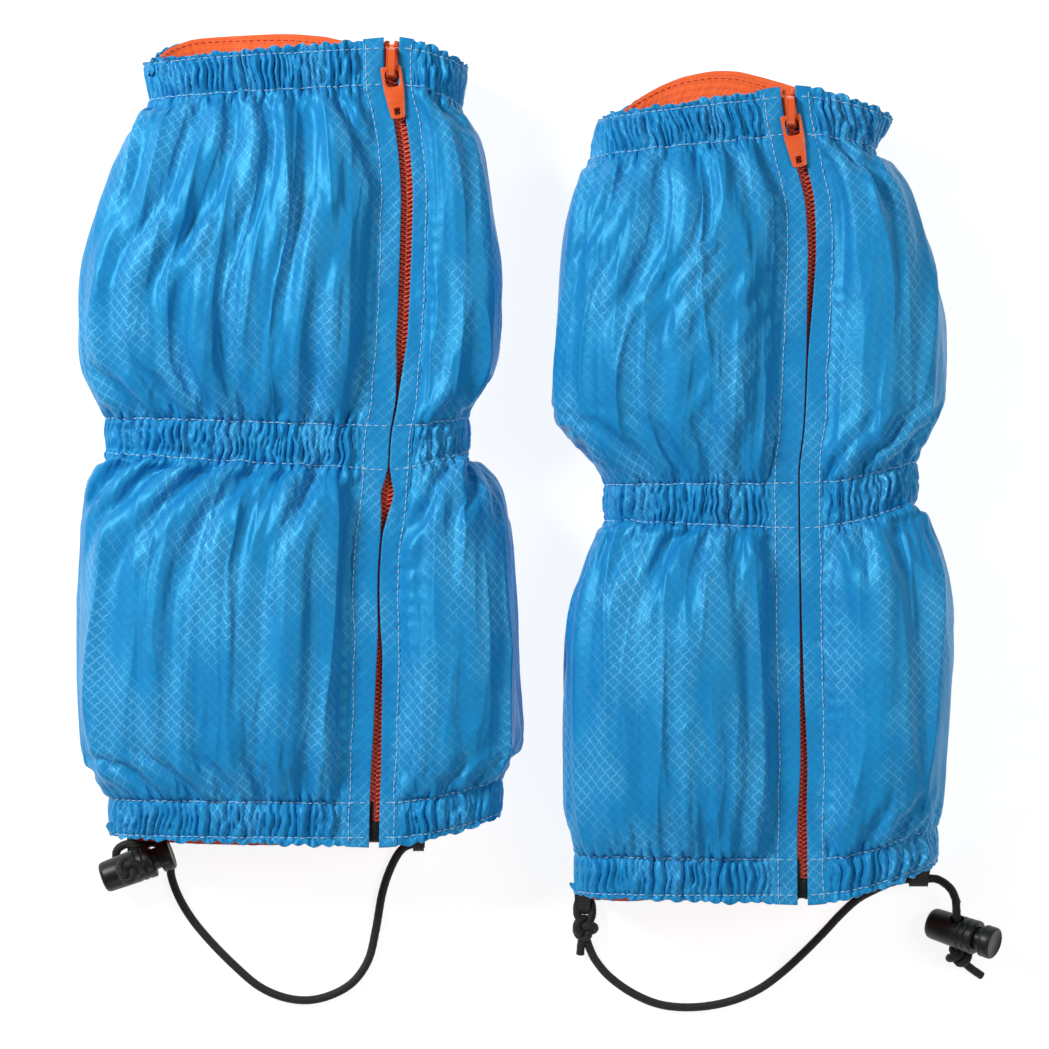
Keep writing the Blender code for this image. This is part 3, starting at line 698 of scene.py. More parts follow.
def steel_material():
    made, tree, shader = new_material("bright steel")
    brushed = grain(tree, object_place(tree), 700.0, 3.0)
    bump(tree, shader, brushed, 0.25, 0.00005)
    connect(tree, shader, {
        "Base Color": mix(tree, brushed, (0.42, 0.42, 0.44), (0.68, 0.68, 0.7)),
        "Roughness": remap(tree, brushed, 0.22, 0.4),
        "Metallic": 1.0,
    })
    return made


def thread_material(name, dark, pale):
    """Polyester thread, with its twist."""
    made, tree, shader = new_material(name)
    turn, along = add(tree, "ShaderNodeSeparateXYZ", {0: cloth_uv(tree)}).outputs[:2]
    twist = zigzag(tree, total_of(tree, turn, times(tree, along, 1.6)))
    bump(tree, shader, twist, 0.5, 0.00008)
    colour = mix(tree, twist, dark, pale)
    connect(tree, shader, {"Base Color": colour, "Roughness": 0.5, "Sheen Weight": 0.2})
    return made


def floor_material():
    made, tree, shader = new_material("white paper")
    fibre = grain(tree, object_place(tree), 60.0, 3.0)
    connect(tree, shader, {
        "Base Color": mix(tree, fibre, (0.28, 0.28, 0.28), (0.31, 0.31, 0.31)),
        "Roughness": 0.9,
        "Specular IOR Level": 0.1,
        "Emission Color": (1.0, 1.0, 1.0, 1.0),
        "Emission Strength": 0.87,
    })
    return made


FINISH = {
    "ripstop": ripstop_material(),
    "lining": lining_material(),
    "elastic": woven_material("white elastic", (0.5, 0.5, 0.48), (0.8, 0.8, 0.78), 1.0, 0.8),
    "zip_tape": woven_material("zip tape", (0.35, 0.02, 0.006), (0.75, 0.08, 0.02), 0.5, 0.7),
    "zip_coil": moulded_material("zip coil", (1.0, 0.07, 0.035), (1.0, 0.2, 0.11), 0.28, 0.4),
    "zip_metal": moulded_material("orange enamel", (0.78, 0.09, 0.014), (0.9, 0.15, 0.03), 0.3, 0.5),
    "stop_metal": steel_material(),
    "zip_plastic": moulded_material(
        "black zip plastic", (0.005, 0.005, 0.005), (0.015, 0.015, 0.015), 0.38, specular=0.3
    ),
    "webbing": woven_material("black webbing", (0.004, 0.004, 0.004), (0.05, 0.05, 0.05), 0.9, 0.7, 0.0004),
    "cord": cord_material(),
    "lock_plastic": moulded_material(
        "black lock plastic", (0.005, 0.007, 0.006), (0.016, 0.02, 0.017), 0.36, specular=0.32
    ),
    "spring_steel": steel_material(),
    "thread": thread_material("pale thread", (0.24, 0.52, 0.76), (0.66, 0.84, 0.94)),
    "lining_thread": thread_material("lining thread", (0.5, 0.04, 0.005), (0.75, 0.1, 0.015)),
}


# ---------------------------------------------------------------- camera, floor and light


def camera():
    data = bpy.data.cameras.new("camera")
    data.lens = CAMERA_LENS
    data.sensor_width = 36.0
    data.clip_end = 20.0
    made = linked(bpy.data.objects.new("camera", data))
    made.location = [value * MM for value in CAMERA_PLACE]
    bpy.context.scene.camera = made


def area_light(name, place, size, power):
    """A soft light that faces the pair."""
    data = bpy.data.lights.new(name, "AREA")
    data.shape = "RECTANGLE"
    data.size, data.size_y = size
    data.energy = power
    made = linked(bpy.data.objects.new(name, data))
    made.location = place
    made.rotation_euler = (-Vector(place)).to_track_quat("-Z", "Y").to_euler()


def studio():
    shape = bmesh.new()
    bmesh.ops.create_grid(shape, x_segments=1, y_segments=1, size=FLOOR_HALF)
    mesh = bpy.data.meshes.new("floor")
    shape.to_mesh(mesh)
    shape.free()
    mesh.materials.append(floor_material())
    floor = linked(bpy.data.objects.new("floor", mesh))
    floor.location.z = -FLOOR_DOWN
    sky = bpy.data.worlds.new("studio")
    sky.use_nodes = True
    background = sky.node_tree.nodes["Background"]
    background.inputs["Color"].default_value = (1.0, 1.0, 1.0, 1.0)
    background.inputs["Strength"].default_value = 0.12
    bpy.context.scene.world = sky
    for light in LIGHTS:
        area_light(*light)
    bpy.context.scene.view_settings.view_transform = "Standard"


# ---------------------------------------------------------------- cord, knots, locks and webbing


def lock_turn(gaiter):
    """The lock's frame as a matrix: X along the barrel from its closed foot, Z along the cord's hole."""
    return (
        Matrix.Rotation(radians(gaiter.lock_turn), 3, "Z")
        @ Matrix.Rotation(radians(-gaiter.lock_rise), 3, "Y")
        @ Matrix.Rotation(radians(gaiter.lock_roll - 90.0), 3, "X")
    )


def braid_radius(angle, along):
    """A braided cord's radius, from two families of yarns that cross over and under."""
    first = np.cos(8 * angle + 1.75 * along)
    second = np.cos(8 * angle - 1.75 * along)
    return CORD / 2 * (0.93 + 0.055 * np.maximum(first, second))


def cord_route(gaiter):
    turn = lock_turn(gaiter)
    along = np.array(turn @ Vector((0, 0, 1)))
    hole = np.array(gaiter.lock_foot) + np.array(turn @ Vector((HOLE_FROM_FOOT, 0, 0)))
    if gaiter.name == "left":
        return [*gaiter.cord, hole + along * (BARREL_R - 0.2)], hole + along * (BARREL_R + KNOT + 0.2)
    through = [hole + along * 17, hole + along * 8, hole, hole - along * (BARREL_R - 0.2)]
    return [*gaiter.cord, *through], hole - along * (BARREL_R + KNOT + 0.2)


def knot_run(place, turn):
    """An overhand knot pulled tight, as a trefoil line that is 3 in its outer radius before scaling."""
    t = np.linspace(0, 2 * pi, 90)
    reach = 2 + np.cos(3 * t)
    line = np.stack([reach * np.cos(2 * t), reach * np.sin(2 * t), 1.35 * np.sin(3 * t)], axis=1)
    return (line * (KNOT_LINE / 3)) @ np.array(turn).T + np.asarray(place)


def anchor_knot():
    """The knot that ties the right cord to its webbing loop, with the loop and ends that stand out."""
    flat = Matrix.Rotation(radians(ANCHOR_LEAN), 3, "X")
    runs = [(knot_run(ANCHOR, flat), braid_radius, 20)]
    for offsets in (ANCHOR_LOOP, ANCHOR_ENDS):
        runs.append((smooth_route(ANCHOR + np.array(offsets), 0.6), braid_radius, 20))
    knot = tubes_object("right_anchor_knot_cord", runs, FINISH["cord"])
    settle(knot, "right_gaiter", "cord", "right_anchor_knot")


def instep_cord(gaiter):
    """The cord, its knots and their tails."""
    name, body = gaiter.name, f"{gaiter.name}_gaiter"
    route, knot_place = cord_route(gaiter)
    points = smooth_route(route, 0.55)
    cord = tubes_object(f"{name}_cord", [(points, braid_radius, 24)], FINISH["cord"])
    settle(cord, body, "cord", f"{name}_instep_cord")
    turn = lock_turn(gaiter)
    lead_in = np.linspace(points[-1], knot_place, 12)  # the cord's last stretch, inside the knot's own room
    runs = [(knot_run(knot_place, turn), braid_radius, 20), (lead_in, braid_radius, 24)]
    if name == "right":
        away = -np.array(turn @ Vector((0, 0, 1)))
        tail = knot_place + np.array(END_TAIL) + away * 2
        runs.append((smooth_route(tail, 0.6), braid_radius, 20))
        anchor_knot()
    knot = tubes_object(f"{name}_end_knot_cord", runs, FINISH["cord"])
    settle(knot, body, "cord", f"{name}_end_knot")
    return cord, knot, points


def cords():
    for gaiter in (LEFT, RIGHT):
        cord, knot, points = instep_cord(gaiter)
        cord_lock(gaiter)


# ---------------------------------------------------------------- small hard shapes, in millimetres


def rounded(outline, radius, steps=5):
    """A closed outline with each corner cut to an arc-like curve."""
    made = []
    count = len(outline)
    for k in range(count):
        before, corner, after = (Vector(outline[(k + d) % count]) for d in (-1, 0, 1))
        reach = min(radius, 0.45 * (before - corner).length, 0.45 * (after - corner).length)
        first = corner + (before - corner).normalized() * reach
        last = corner + (after - corner).normalized() * reach
        for step in range(steps + 1):
            t = step / steps
            made.append(tuple(first * (1 - t) ** 2 + corner * 2 * t * (1 - t) + last * t * t))
    return made


def evaluated_mesh(thing):
    """The mesh that an object's curve or modifiers make, as a new mesh; the object is removed."""
    linked(thing)
    bpy.context.view_layer.update()
    made = bpy.data.meshes.new_from_object(thing.evaluated_get(bpy.context.evaluated_depsgraph_get()))
    bpy.data.objects.remove(thing)
    return made


def face_outwards(mesh, fill=False):
    """Turns a closed mesh's faces outwards, after filling its open ends where that is asked."""
    shape = bmesh.new()
    shape.from_mesh(mesh)
    if fill:
        bmesh.ops.holes_fill(shape, edges=[edge for edge in shape.edges if edge.is_boundary])
    bmesh.ops.recalc_face_normals(shape, faces=shape.faces)
    shape.to_mesh(mesh)
    shape.free()


def plate_mesh(outlines, low, high, edge):
    """A flat plate with rounded edges from closed outlines in XY, the later ones being holes."""
    curve = bpy.data.curves.new("plate", "CURVE")
    curve.dimensions = "2D"
    curve.fill_mode = "BOTH"
    curve.extrude = (high - low) / 2 - edge
    curve.bevel_depth = edge
    curve.bevel_resolution = 3
    curve.offset = -edge
    for outline in outlines:
        spline = curve.splines.new("POLY")
        spline.points.add(len(outline) - 1)
        for point, (x, y) in zip(spline.points, outline):
            point.co = (x, y, 0, 1)
        spline.use_cyclic_u = True
    made = evaluated_mesh(bpy.data.objects.new("plate", curve))
    made.transform(Matrix.Translation((0, 0, (low + high) / 2)))
    return made


def box_mesh(low, high, edge):
    shape = bmesh.new()
    bmesh.ops.create_cube(shape, size=1.0)
    bmesh.ops.scale(shape, vec=[b - a for a, b in zip(low, high)], verts=shape.verts)
    bmesh.ops.translate(shape, vec=[(a + b) / 2 for a, b in zip(low, high)], verts=shape.verts)
    bmesh.ops.bevel(shape, geom=shape.edges[:], offset=edge, segments=3, profile=0.5, affect="EDGES")
    mesh = bpy.data.meshes.new("box")
    shape.to_mesh(mesh)
    shape.free()
    return mesh


def ribbon_mesh(path, widths, thick, edge):
    """A flat strip along a path, as wide as widths along X, with rounded edges."""
    axis = np.array([1.0, 0.0, 0.0])
    tangent = np.gradient(path, axis=0)
    face = np.cross(tangent, axis)
    face /= np.linalg.norm(face, axis=1, keepdims=True)
    half = widths[:, None] / 2
    depth = thick / 2
    corners = ((-1, -1), (1, -1), (1, 1), (-1, 1))
    ring = []
    for across, up in corners:
        for shorter_across, shorter_up in ((1, 0), (0, 1)) if across * up > 0 else ((0, 1), (1, 0)):
            aside = axis * across * (half - edge * shorter_across)
            ring.append(path + aside + face * up * (depth - edge * shorter_up))
    grid = np.array(ring).transpose(1, 0, 2)
    rows, columns = grid.shape[:2]
    faces = grid_faces(rows, columns, wrap=True).tolist()
    faces.append(list(range(columns)))
    faces.append(list(range((rows - 1) * columns, rows * columns))[::-1])
    mesh = bpy.data.meshes.new("ribbon")
    mesh.from_pydata(grid.reshape(-1, 3).tolist(), [], faces)
    layer = mesh.uv_layers.new(name="cloth")
    side = (grid - path[:, None]) @ axis
    uv = paired(side, distances(path)[:, None]).reshape(-1, 2)
    corner_index = np.array([corner for face_points in faces for corner in face_points])
    layer.data.foreach_set("uv", uv[corner_index].astype(np.float32).ravel())
    return mesh


def lathe_mesh(profile, sides=56):
    """A turned shape round X, from (x, radius) points that start and end on the axis."""
    profile = np.asarray(profile, float)
    angle = np.arange(sides) * 2 * pi / sides
    body = profile[1:-1]
    grid = np.stack(
        [
            np.broadcast_to(body[:, :1], (len(body), sides)),
            body[:, 1:] * np.cos(angle)[None, :],
            body[:, 1:] * np.sin(angle)[None, :],
        ],
        axis=-1,
    )
    points = [*grid.reshape(-1, 3).tolist(), [profile[0, 0], 0, 0], [profile[-1, 0], 0, 0]]
    faces = grid_faces(len(body), sides, wrap=True).tolist()
    last = (len(body) - 1) * sides
    for k in range(sides):
        after = (k + 1) % sides
        faces.append([k, after, len(points) - 2])
        faces.append([last + after, last + k, len(points) - 1])
    mesh = bpy.data.meshes.new("turned")
    mesh.from_pydata(points, [], faces)
    return mesh


def cut(mesh, *tools):
    """The mesh with other meshes cut out of it."""
    face_outwards(mesh)
    piece = bpy.data.objects.new("cut", mesh)
    helpers = []
    for tool in tools:
        helper = linked(bpy.data.objects.new("tool", tool))
        step = piece.modifiers.new("cut", "BOOLEAN")
        step.operation = "DIFFERENCE"
        step.object = helper
        helpers.append(helper)
    made = evaluated_mesh(piece)
    for helper in helpers:
        bpy.data.objects.remove(helper)
    return made


def rod_mesh(start, end, radius, sides=32):
    """A plain round rod, for cutting a hole."""
    points, faces, caps, _ = tube(np.linspace(start, end, 2), radius, sides)
    mesh = bpy.data.meshes.new("rod")
    mesh.from_pydata(points.tolist(), [], [*faces.tolist(), *caps.tolist()])
    face_outwards(mesh)
    return mesh


def assemble(name, meshes, place, finish, sharp=38.0):
    """One piece of several meshes, put in its place in a gaiter's millimetres."""
    shape = bmesh.new()
    for mesh in meshes:
        shape.from_mesh(mesh)
        bpy.data.meshes.remove(mesh)
    bmesh.ops.remove_doubles(shape, verts=shape.verts, dist=1e-4)
    bmesh.ops.recalc_face_normals(shape, faces=shape.faces)
    shape.transform(Matrix.Diagonal((MM, MM, MM, 1.0)) @ Matrix.Translation(Vector(PAIR_SHIFT)) @ place)
    mesh = bpy.data.meshes.new(name)
    shape.to_mesh(mesh)
    shape.free()
    mesh.shade_smooth()
    mesh.set_sharp_from_angle(angle=radians(sharp))
    mesh.materials.append(finish)
    return linked(bpy.data.objects.new(name, mesh))


# ---------------------------------------------------------------- zip


def zip_frame(gaiter):
    """The zip's straight line as a matrix: its origin at the head, Y up the zip."""
    (x0, y0), (x1, y1) = gaiter.zip_head, gaiter.zip_foot
    return Matrix.Translation((x0, y0, 0)) @ Matrix.Rotation(atan2(x1 - x0, y0 - y1), 4, "Z")


def slider_frame(gaiter):
    return zip_frame(gaiter) @ Matrix.Translation((0, gaiter.slider_y - gaiter.zip_head[1], 0))


def parting(gaiter, y):
    """How far each coil stands off the zip's line above the slider."""
    return 2.0 * smoothstep(gaiter.slider_y + 1.0, gaiter.slider_y + 10.0, y)


def zip_tapes(gaiter):
    top, hem = gaiter.rows[0].zip_y - 0.8, gaiter.rows[-1].zip_y + 1.6
    y = np.linspace(top, hem, 260)
    x, spread = zip_x(gaiter, y), parting(gaiter, y)
    for side, sign in SIDES:
        ring = [
            np.stack([x + sign * (off + spread), y, np.full_like(y, z)], axis=1)
            for off, z in TAPE_SECTION
        ]
        grid = np.array(ring).transpose(1, 0, 2)
        if sign > 0:
            grid = grid[:, ::-1]
        uv = paired(grid[..., 0] - x[:, None], grid[..., 1])
        node = f"{gaiter.name}_zip_tape_{side}"
        piece = grid_object(f"{node}_weave", grid, uv, FINISH["zip_tape"], wrap=True)
        face_outwards(piece.data, fill=True)
        settle(piece, f"{gaiter.name}_gaiter", "zip_tape", node)


def zip_coils(gaiter):
    """Each side's spiral of monofilament; the two sides' turns lie between each other."""
    top = gaiter.rows[0].zip_y - 4.0
    for side, sign in SIDES:
        low = gaiter.zip_foot[1] + (14.0 if sign < 0 else 5.0)
        turns = (top - low) / COIL_PITCH
        angle = np.linspace(0, 2 * pi * turns, round(turns * 14))
        phase = 0.0 if sign < 0 else COIL_PITCH / 2
        y = top - COIL_PITCH * angle / (2 * pi) - phase
        reach = COIL_CENTRE + parting(gaiter, y) + COIL_REACH * np.cos(angle)
        high = COIL_Z + COIL_HALF_HIGH * np.sin(angle)
        line = np.stack([zip_x(gaiter, y) + sign * reach, y, high], axis=1)
        node = f"{gaiter.name}_zip_coil_{side}"
        coil = tubes_object(f"{node}_turns", [(line, COIL_WIRE, 7)], FINISH["zip_coil"])
        settle(coil, f"{gaiter.name}_gaiter", "zip_coil", node)


def zip_ends(gaiter):
    """The box, pin and top stops that end the chain."""
    name, frame_at = gaiter.name, zip_frame(gaiter)
    foot = -hypot(gaiter.zip_head[0] - gaiter.zip_foot[0], gaiter.zip_head[1] - gaiter.zip_foot[1])
    low, high = foot - 4.5, foot + 4.5
    channel = box_mesh((-2.5, low - 2, 52.7), (-0.3, high + 2, 54.7), 0.1)
    body = cut(box_mesh((-3.4, low, 52.1), (3.4, high, 55.3), 0.7), channel)
    starts = [low + 1.2 + 1.6 * k for k in range(4)]
    ribs = [box_mesh((-3.0, start, 55.1), (3.0, start + 0.7, 55.5), 0.15) for start in starts]
    box = assemble(f"{name}_retainer_box_body", [body, *ribs], frame_at, FINISH["zip_plastic"])
    settle(box, f"{name}_gaiter", "zip_plastic", f"{name}_retainer_box")
    shaft = box_mesh((-2.1, low + 1, 53.0), (-0.7, high + 8.5, 54.4), 0.35)
    pin = assemble(f"{name}_insertion_pin_body", [shaft], frame_at, FINISH["zip_plastic"])
    settle(pin, f"{name}_gaiter", "stop_metal", f"{name}_insertion_pin")
    stop = gaiter.rows[0].zip_y - gaiter.zip_head[1] - 0.5
    for side, sign in SIDES:
        inner, outer = sorted((sign * 0.9, sign * 3.2))
        node = f"{name}_top_stop_{side}"
        jaw = box_mesh((inner, stop - 2.6, 52.1), (outer, stop, 54.4), 0.45)
        clamp = assemble(f"{node}_clamp", [jaw], frame_at, FINISH["zip_metal"])
        settle(clamp, f"{name}_gaiter", "stop_metal", node)


def slider(gaiter):
    """The zip's slider: two plates, flanges, a bridge between the chains and a crown over the top."""
    shield = [
        (-4.5, 7.0), (-4.5, 1.0), (-3.3, -4.5), (-3.0, -7.0), (3.0, -7.0), (3.3, -4.5), (4.5, 1.0),
        (4.5, 7.0),
    ]
    outline = rounded(shield, 1.6)
    parts = [plate_mesh([outline], low, high, 0.3) for low, high in (UPPER_PLATE, LOWER_PLATE)]
    for sign in (-1, 1):
        inner, outer = sorted((sign * 3.6, sign * 4.5))
        parts.append(box_mesh((inner, -0.5, 52.6), (outer, 6.6, 54.9), 0.25))
    parts.append(box_mesh((-0.6, 1.2, 50.5), (0.6, 5.4, 54.9), 0.2))
    crown = [
        (7.0, 55.0), (6.9, 56.6), (6.3, 58.4), (4.9, 60.1), (2.4, 60.75), (-1.0, 60.8), (-4.0, 60.4),
        (-5.9, 59.0), (-6.3, 57.2), (-6.2, 55.0),
    ]
    path = smooth_route([(0.0, y, z) for y, z in crown], 0.6)
    share = np.linspace(0, 1, len(path))
    widths = 2 * CROWN_HALF - 0.5 * np.abs(share * 2 - 1) ** 3
    parts.append(ribbon_mesh(path, widths, 1.15, 0.3))
    piece = assemble(f"{gaiter.name}_slider_body", parts, slider_frame(gaiter), FINISH["zip_metal"])
    settle(piece, f"{gaiter.name}_slider", "zip_metal", f"{gaiter.name}_zip_slider")


def pull(gaiter):
    """The pull tab, flat with a long eye round the crown and a square hole near its tip."""
    place = (
        slider_frame(gaiter)
        @ Matrix.Translation(PULL_HINGE)
        @ Matrix.Rotation(radians(gaiter.pull_lean), 4, "Z")
    )
    outline = [(-4.7, 0.9), (-4.6, -10.0), (-3.1, -23.0), (3.1, -23.0), (4.6, -10.0), (4.7, 0.9)]
    eye = [(-3.2, -0.9), (-3.2, -8.5), (3.2, -8.5), (3.2, -0.9)]
    hole = [(-1.3, -18.2), (-1.3, -21.4), (1.3, -21.4), (1.3, -18.2)]
    rim_out = [(-2.0, -17.5), (-2.0, -22.1), (2.0, -22.1), (2.0, -17.5)]
    rim_in = [(-1.45, -18.05), (-1.45, -21.55), (1.45, -21.55), (1.45, -18.05)]
    panel = [(2.4, -9.9), (3.4, -16.0), (-3.4, -16.0), (-2.4, -9.9)]
    parts = [
        plate_mesh([rounded(outline, 1.3), rounded(eye, 2.2), rounded(hole, 0.5)], -0.7, 0.7, 0.3),
        plate_mesh([rounded(rim_out, 0.7), rounded(rim_in, 0.4)], 0.3, 0.95, 0.12),
        plate_mesh([rounded(panel, 1.0)], 0.4, 0.85, 0.12),
    ]
    piece = assemble(f"{gaiter.name}_pull_tab", parts, place, FINISH["zip_metal"])
    settle(piece, f"{gaiter.name}_pull", "zip_metal", f"{gaiter.name}_zip_pull")


# ---------------------------------------------------------------- locks and webbing


def lock_body(gaiter, part):
    """The body that one of the lock's parts rides on."""
    if part == "plunger":
        return f"{gaiter.name}_plunger"
    return "right_lock" if gaiter.name == "right" else "left_gaiter"


def cord_lock(gaiter):
    """The spring lock: a barrel closed at its foot, a plunger with a wide cap, and the spring."""
    name = gaiter.name
    place = Matrix.Translation(gaiter.lock_foot) @ lock_turn(gaiter).to_4x4()
    open_end, bore_foot = BARREL_LONG, BARREL_LONG - BORE_DEEP
    outer = [
        (0.0, 0.0), (0.0, 4.6), (0.12, 5.6), (0.5, 6.45), (1.2, 7.0), (2.4, 7.28), (9.0, 7.5),
        (17.3, 7.76), (17.5, 7.5), (17.9, 7.35), (18.3, 7.5), (18.5, 7.8), (20.4, 7.86), (20.6, 7.6),
        (21.0, 7.45), (21.4, 7.6), (21.6, 7.9), (23.8, 8.0), (24.5, 7.95), (24.9, 7.6), (open_end, 7.0),
        (open_end, 5.8), (24.7, 5.4), (24.0, 5.3), (bore_foot + 0.4, 5.3), (bore_foot, 4.9), (bore_foot, 0.0),
    ]
    hole = rod_mesh((HOLE_FROM_FOOT, 0, -12.0), (HOLE_FROM_FOOT, 0, 12.0), CORD_HOLE)
    barrel = assemble(f"{name}_lock_body", [cut(lathe_mesh(outer), hole)], place, FINISH["lock_plastic"])
    settle(barrel, lock_body(gaiter, "barrel"), "lock_plastic", f"{name}_lock_barrel")
    stem = BARREL_LONG + PRESS + GAP - STEM_LONG
    cap = BARREL_LONG + PRESS + GAP
    plunger = [
        (stem, 0.0), (stem, 4.5), (stem + 0.4, 5.0), (cap - 0.2, 5.0), (cap, 5.3), (cap, 6.9),
        (cap + 0.35, 7.4), (cap + 1.3, 7.5), (cap + 1.6, 7.15), (cap + 2.2, 7.15), (cap + 2.5, 7.5),
        (cap + 4.9, 7.5), (cap + 5.6, 7.2), (cap + 6.0, 6.6), (cap + 6.0, 6.1), (cap + 5.7, 5.7),
        (cap + 5.6, 0.0),
    ]
    slot_end = HOLE_FROM_FOOT + CORD_HOLE + PRESS + GAP
    slot = box_mesh((HOLE_FROM_FOOT - CORD_HOLE, -CORD_HOLE, -9), (slot_end, CORD_HOLE, 9), 0.1)
    piece = assemble(f"{name}_plunger_body", [cut(lathe_mesh(plunger), slot)], place, FINISH["lock_plastic"])
    settle(piece, lock_body(gaiter, "plunger"), "lock_plastic", f"{name}_lock_plunger")
    start = bore_foot + SPRING_GAP
    long = stem - start - SPRING_GAP
    share = np.linspace(0, 1, 97)
    angle = 2 * pi * SPRING_TURNS * share
    coil = np.stack([start + long * share, SPRING_R * np.cos(angle), SPRING_R * np.sin(angle)], axis=1)
    turn = np.array(lock_turn(gaiter))
    wire = coil @ turn.T + np.array(gaiter.lock_foot)
    spring = tubes_object(f"{name}_spring_coil", [(wire, SPRING_WIRE, 10)], FINISH["spring_steel"])
    settle(spring, lock_body(gaiter, "spring"), "spring_steel", f"{name}_lock_spring")
    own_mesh(spring)


def webbing(name, centre, reach, width_at_cord, width_at_hem):
    """A strip of webbing folded round the cord, with both ends sewn inside the hem."""
    turn = np.linspace(pi / 2, 3 * pi / 2, 17)
    path = [(reach, WEBBING_R * 0.9), (reach * 0.5, WEBBING_R * 1.02)]
    path += [(WEBBING_R * cos(a), WEBBING_R * sin(a)) for a in turn]
    path += [(reach * 0.5, -WEBBING_R * 0.95), (reach, -WEBBING_R * 0.7)]
    line = smooth_route([(0.0, y, z) for y, z in path], 0.7)
    share = np.clip(line[:, 1] / reach, 0, 1)
    widths = width_at_cord + (width_at_hem - width_at_cord) * share
    strip = ribbon_mesh(line, widths, WEBBING_THICK, 0.25)
    piece = assemble(f"{name}_strip", [strip], Matrix.Translation(centre), FINISH["webbing"], 60.0)
    settle(piece, name.split("_")[0] + "_gaiter", "webbing", name)


# ---------------------------------------------------------------- stitches


def stitch_row(line, normals):
    """Points, faces and coordinates of a row of stitches along a line on the fabric."""
    along = distances(line)
    count = int(along[-1] // STITCH_PITCH)
    starts = (np.arange(count) + 0.5) * along[-1] / count - STITCH_LONG / 2

    def at(distance):
        place = np.stack([np.interp(distance, along, line[:, k]) for k in range(3)], axis=-1)
        up = np.stack([np.interp(distance, along, normals[:, k]) for k in range(3)], axis=-1)
        return place, up / np.linalg.norm(up, axis=-1, keepdims=True)

    sides = 6
    shares = np.array([0.0, 0.12, 0.3, 0.5, 0.7, 0.88, 1.0])
    radius = THREAD / 2 * np.array([0.15, 0.75, 1.0, 1.05, 1.0, 0.75, 0.15])
    lift = 0.34 * np.sin(pi * shares) - 0.06
    head, tail = at(starts)[0], at(starts + STITCH_LONG)[0]
    up = at(starts + STITCH_LONG / 2)[1]
    ahead = (tail - head) / np.linalg.norm(tail - head, axis=1, keepdims=True)
    up = up - ahead * np.sum(up * ahead, axis=1, keepdims=True)
    up /= np.linalg.norm(up, axis=1, keepdims=True)
    side = np.cross(ahead, up)
    centre = head[:, None] + (tail - head)[:, None] * shares[None, :, None]
    centre = centre + up[:, None] * lift[None, :, None]
    angle = np.arange(sides) * 2 * pi / sides
    spoke = (
        np.cos(angle)[None, None, :, None] * side[:, None, None]
        + np.sin(angle)[None, None, :, None] * up[:, None, None]
    )
    points = centre[:, :, None] + spoke * radius[None, :, None, None]
    each = grid_faces(len(shares), sides, wrap=True)
    block = len(shares) * sides
    faces = (each[None] + block * np.arange(count)[:, None, None]).reshape(-1, 4)
    uv = paired(angle[None, :] / (2 * pi), (shares * STITCH_LONG)[:, None]).reshape(-1, 2)
    return points.reshape(-1, 3), faces, np.tile(uv, (count, 1))


def stitches(gaiter, grid, places):
    """Every row of stitches that shows: round both edges of each elastic, and down the plackets."""
    normal = normals_of(grid)
    rows = []
    for high, low in stitch_rows(gaiter):
        for y in (high, low):
            k = int(np.argmin(np.abs(places - y)))
            line = (grid[k - 1] + grid[k] + grid[k + 1]) / 3
            calm = np.array([np.convolve(line[:, c], np.ones(5) / 5, "same") for c in range(3)]).T
            calm[:2], calm[-2:] = line[:2], line[-2:]
            calm[:, 2] = np.maximum(calm[:, 2], 0.55)
            rows.append((calm + normal[k] * STITCH_PROUD, normal[k]))
            for sign, seam in zip((-1, 1), gaiter.seams):
                off = np.linspace(sign * (table(gaiter.slit, y) + 1.2), sign * (seam + 0.8), 12)
                flat = placket_point(gaiter, np.full(12, float(y)), off, 0.05)
                rows.append((flat, np.broadcast_to([0.0, 0.0, 1.0], flat.shape)))
    top, hem = gaiter.rows[0].zip_y - 1.5, gaiter.rows[-1].zip_y + 1.5
    y = np.linspace(top, hem, 400)
    for sign, seam in zip((-1, 1), gaiter.seams):
        off = sign * (seam + 0.6 * noise(y / 17, y * 0, gaiter.seed + 230 + sign))
        line = placket_point(gaiter, y, off, 0.05)
        rows.append((line, np.broadcast_to([0.0, 0.0, 1.0], line.shape)))
    points, faces, uvs, start = [], [], [], 0
    for line, up in rows:
        made, quads, uv = stitch_row(line, up)
        points.append(made)
        faces.append(quads + start)
        uvs.append(uv)
        start += len(made)
    points, faces, uvs = np.concatenate(points), np.concatenate(faces), np.concatenate(uvs)
    piece = mesh_object(f"{gaiter.name}_stitches", points, faces, FINISH["thread"], uvs)
    return settle(piece, f"{gaiter.name}_gaiter", "ripstop")


# ---------------------------------------------------------------- fabric


def line_x(gaiter, y):
    """The zip's straight line, which the slider travels along."""
    (x0, y0), (x1, y1) = gaiter.zip_head, gaiter.zip_foot
    return x0 + (y - y0) * (x1 - x0) / (y1 - y0)


def zip_x(gaiter, y):
    """The zip as the fabric lets it lie."""
    return line_x(gaiter, y) + table(gaiter.wander, y)


def row_values(gaiter, y):
    """Each of a row's values at every place along the zip in y."""
    places = [row.zip_y for row in gaiter.rows][::-1]
    return {
        key: monotone(y, places, [getattr(row, key) for row in gaiter.rows][::-1])
        for key in ("left_x", "left_y", "right_x", "right_y", "height")
    }


def rims(gaiter):
    """The places along the zip of the calf's rim and of the hem."""
    return gaiter.rows[0].zip_y, gaiter.rows[-1].zip_y


def stitch_rows(gaiter):
    """The places along the zip of the six rows of stitches that hold the elastic."""
    rows = gaiter.rows
    return (
        (rows[0].zip_y - FRILL_STITCH, rows[1].zip_y),
        (rows[6].zip_y, rows[7].zip_y),
        (rows[12].zip_y, rows[13].zip_y + FRILL_STITCH),
    )


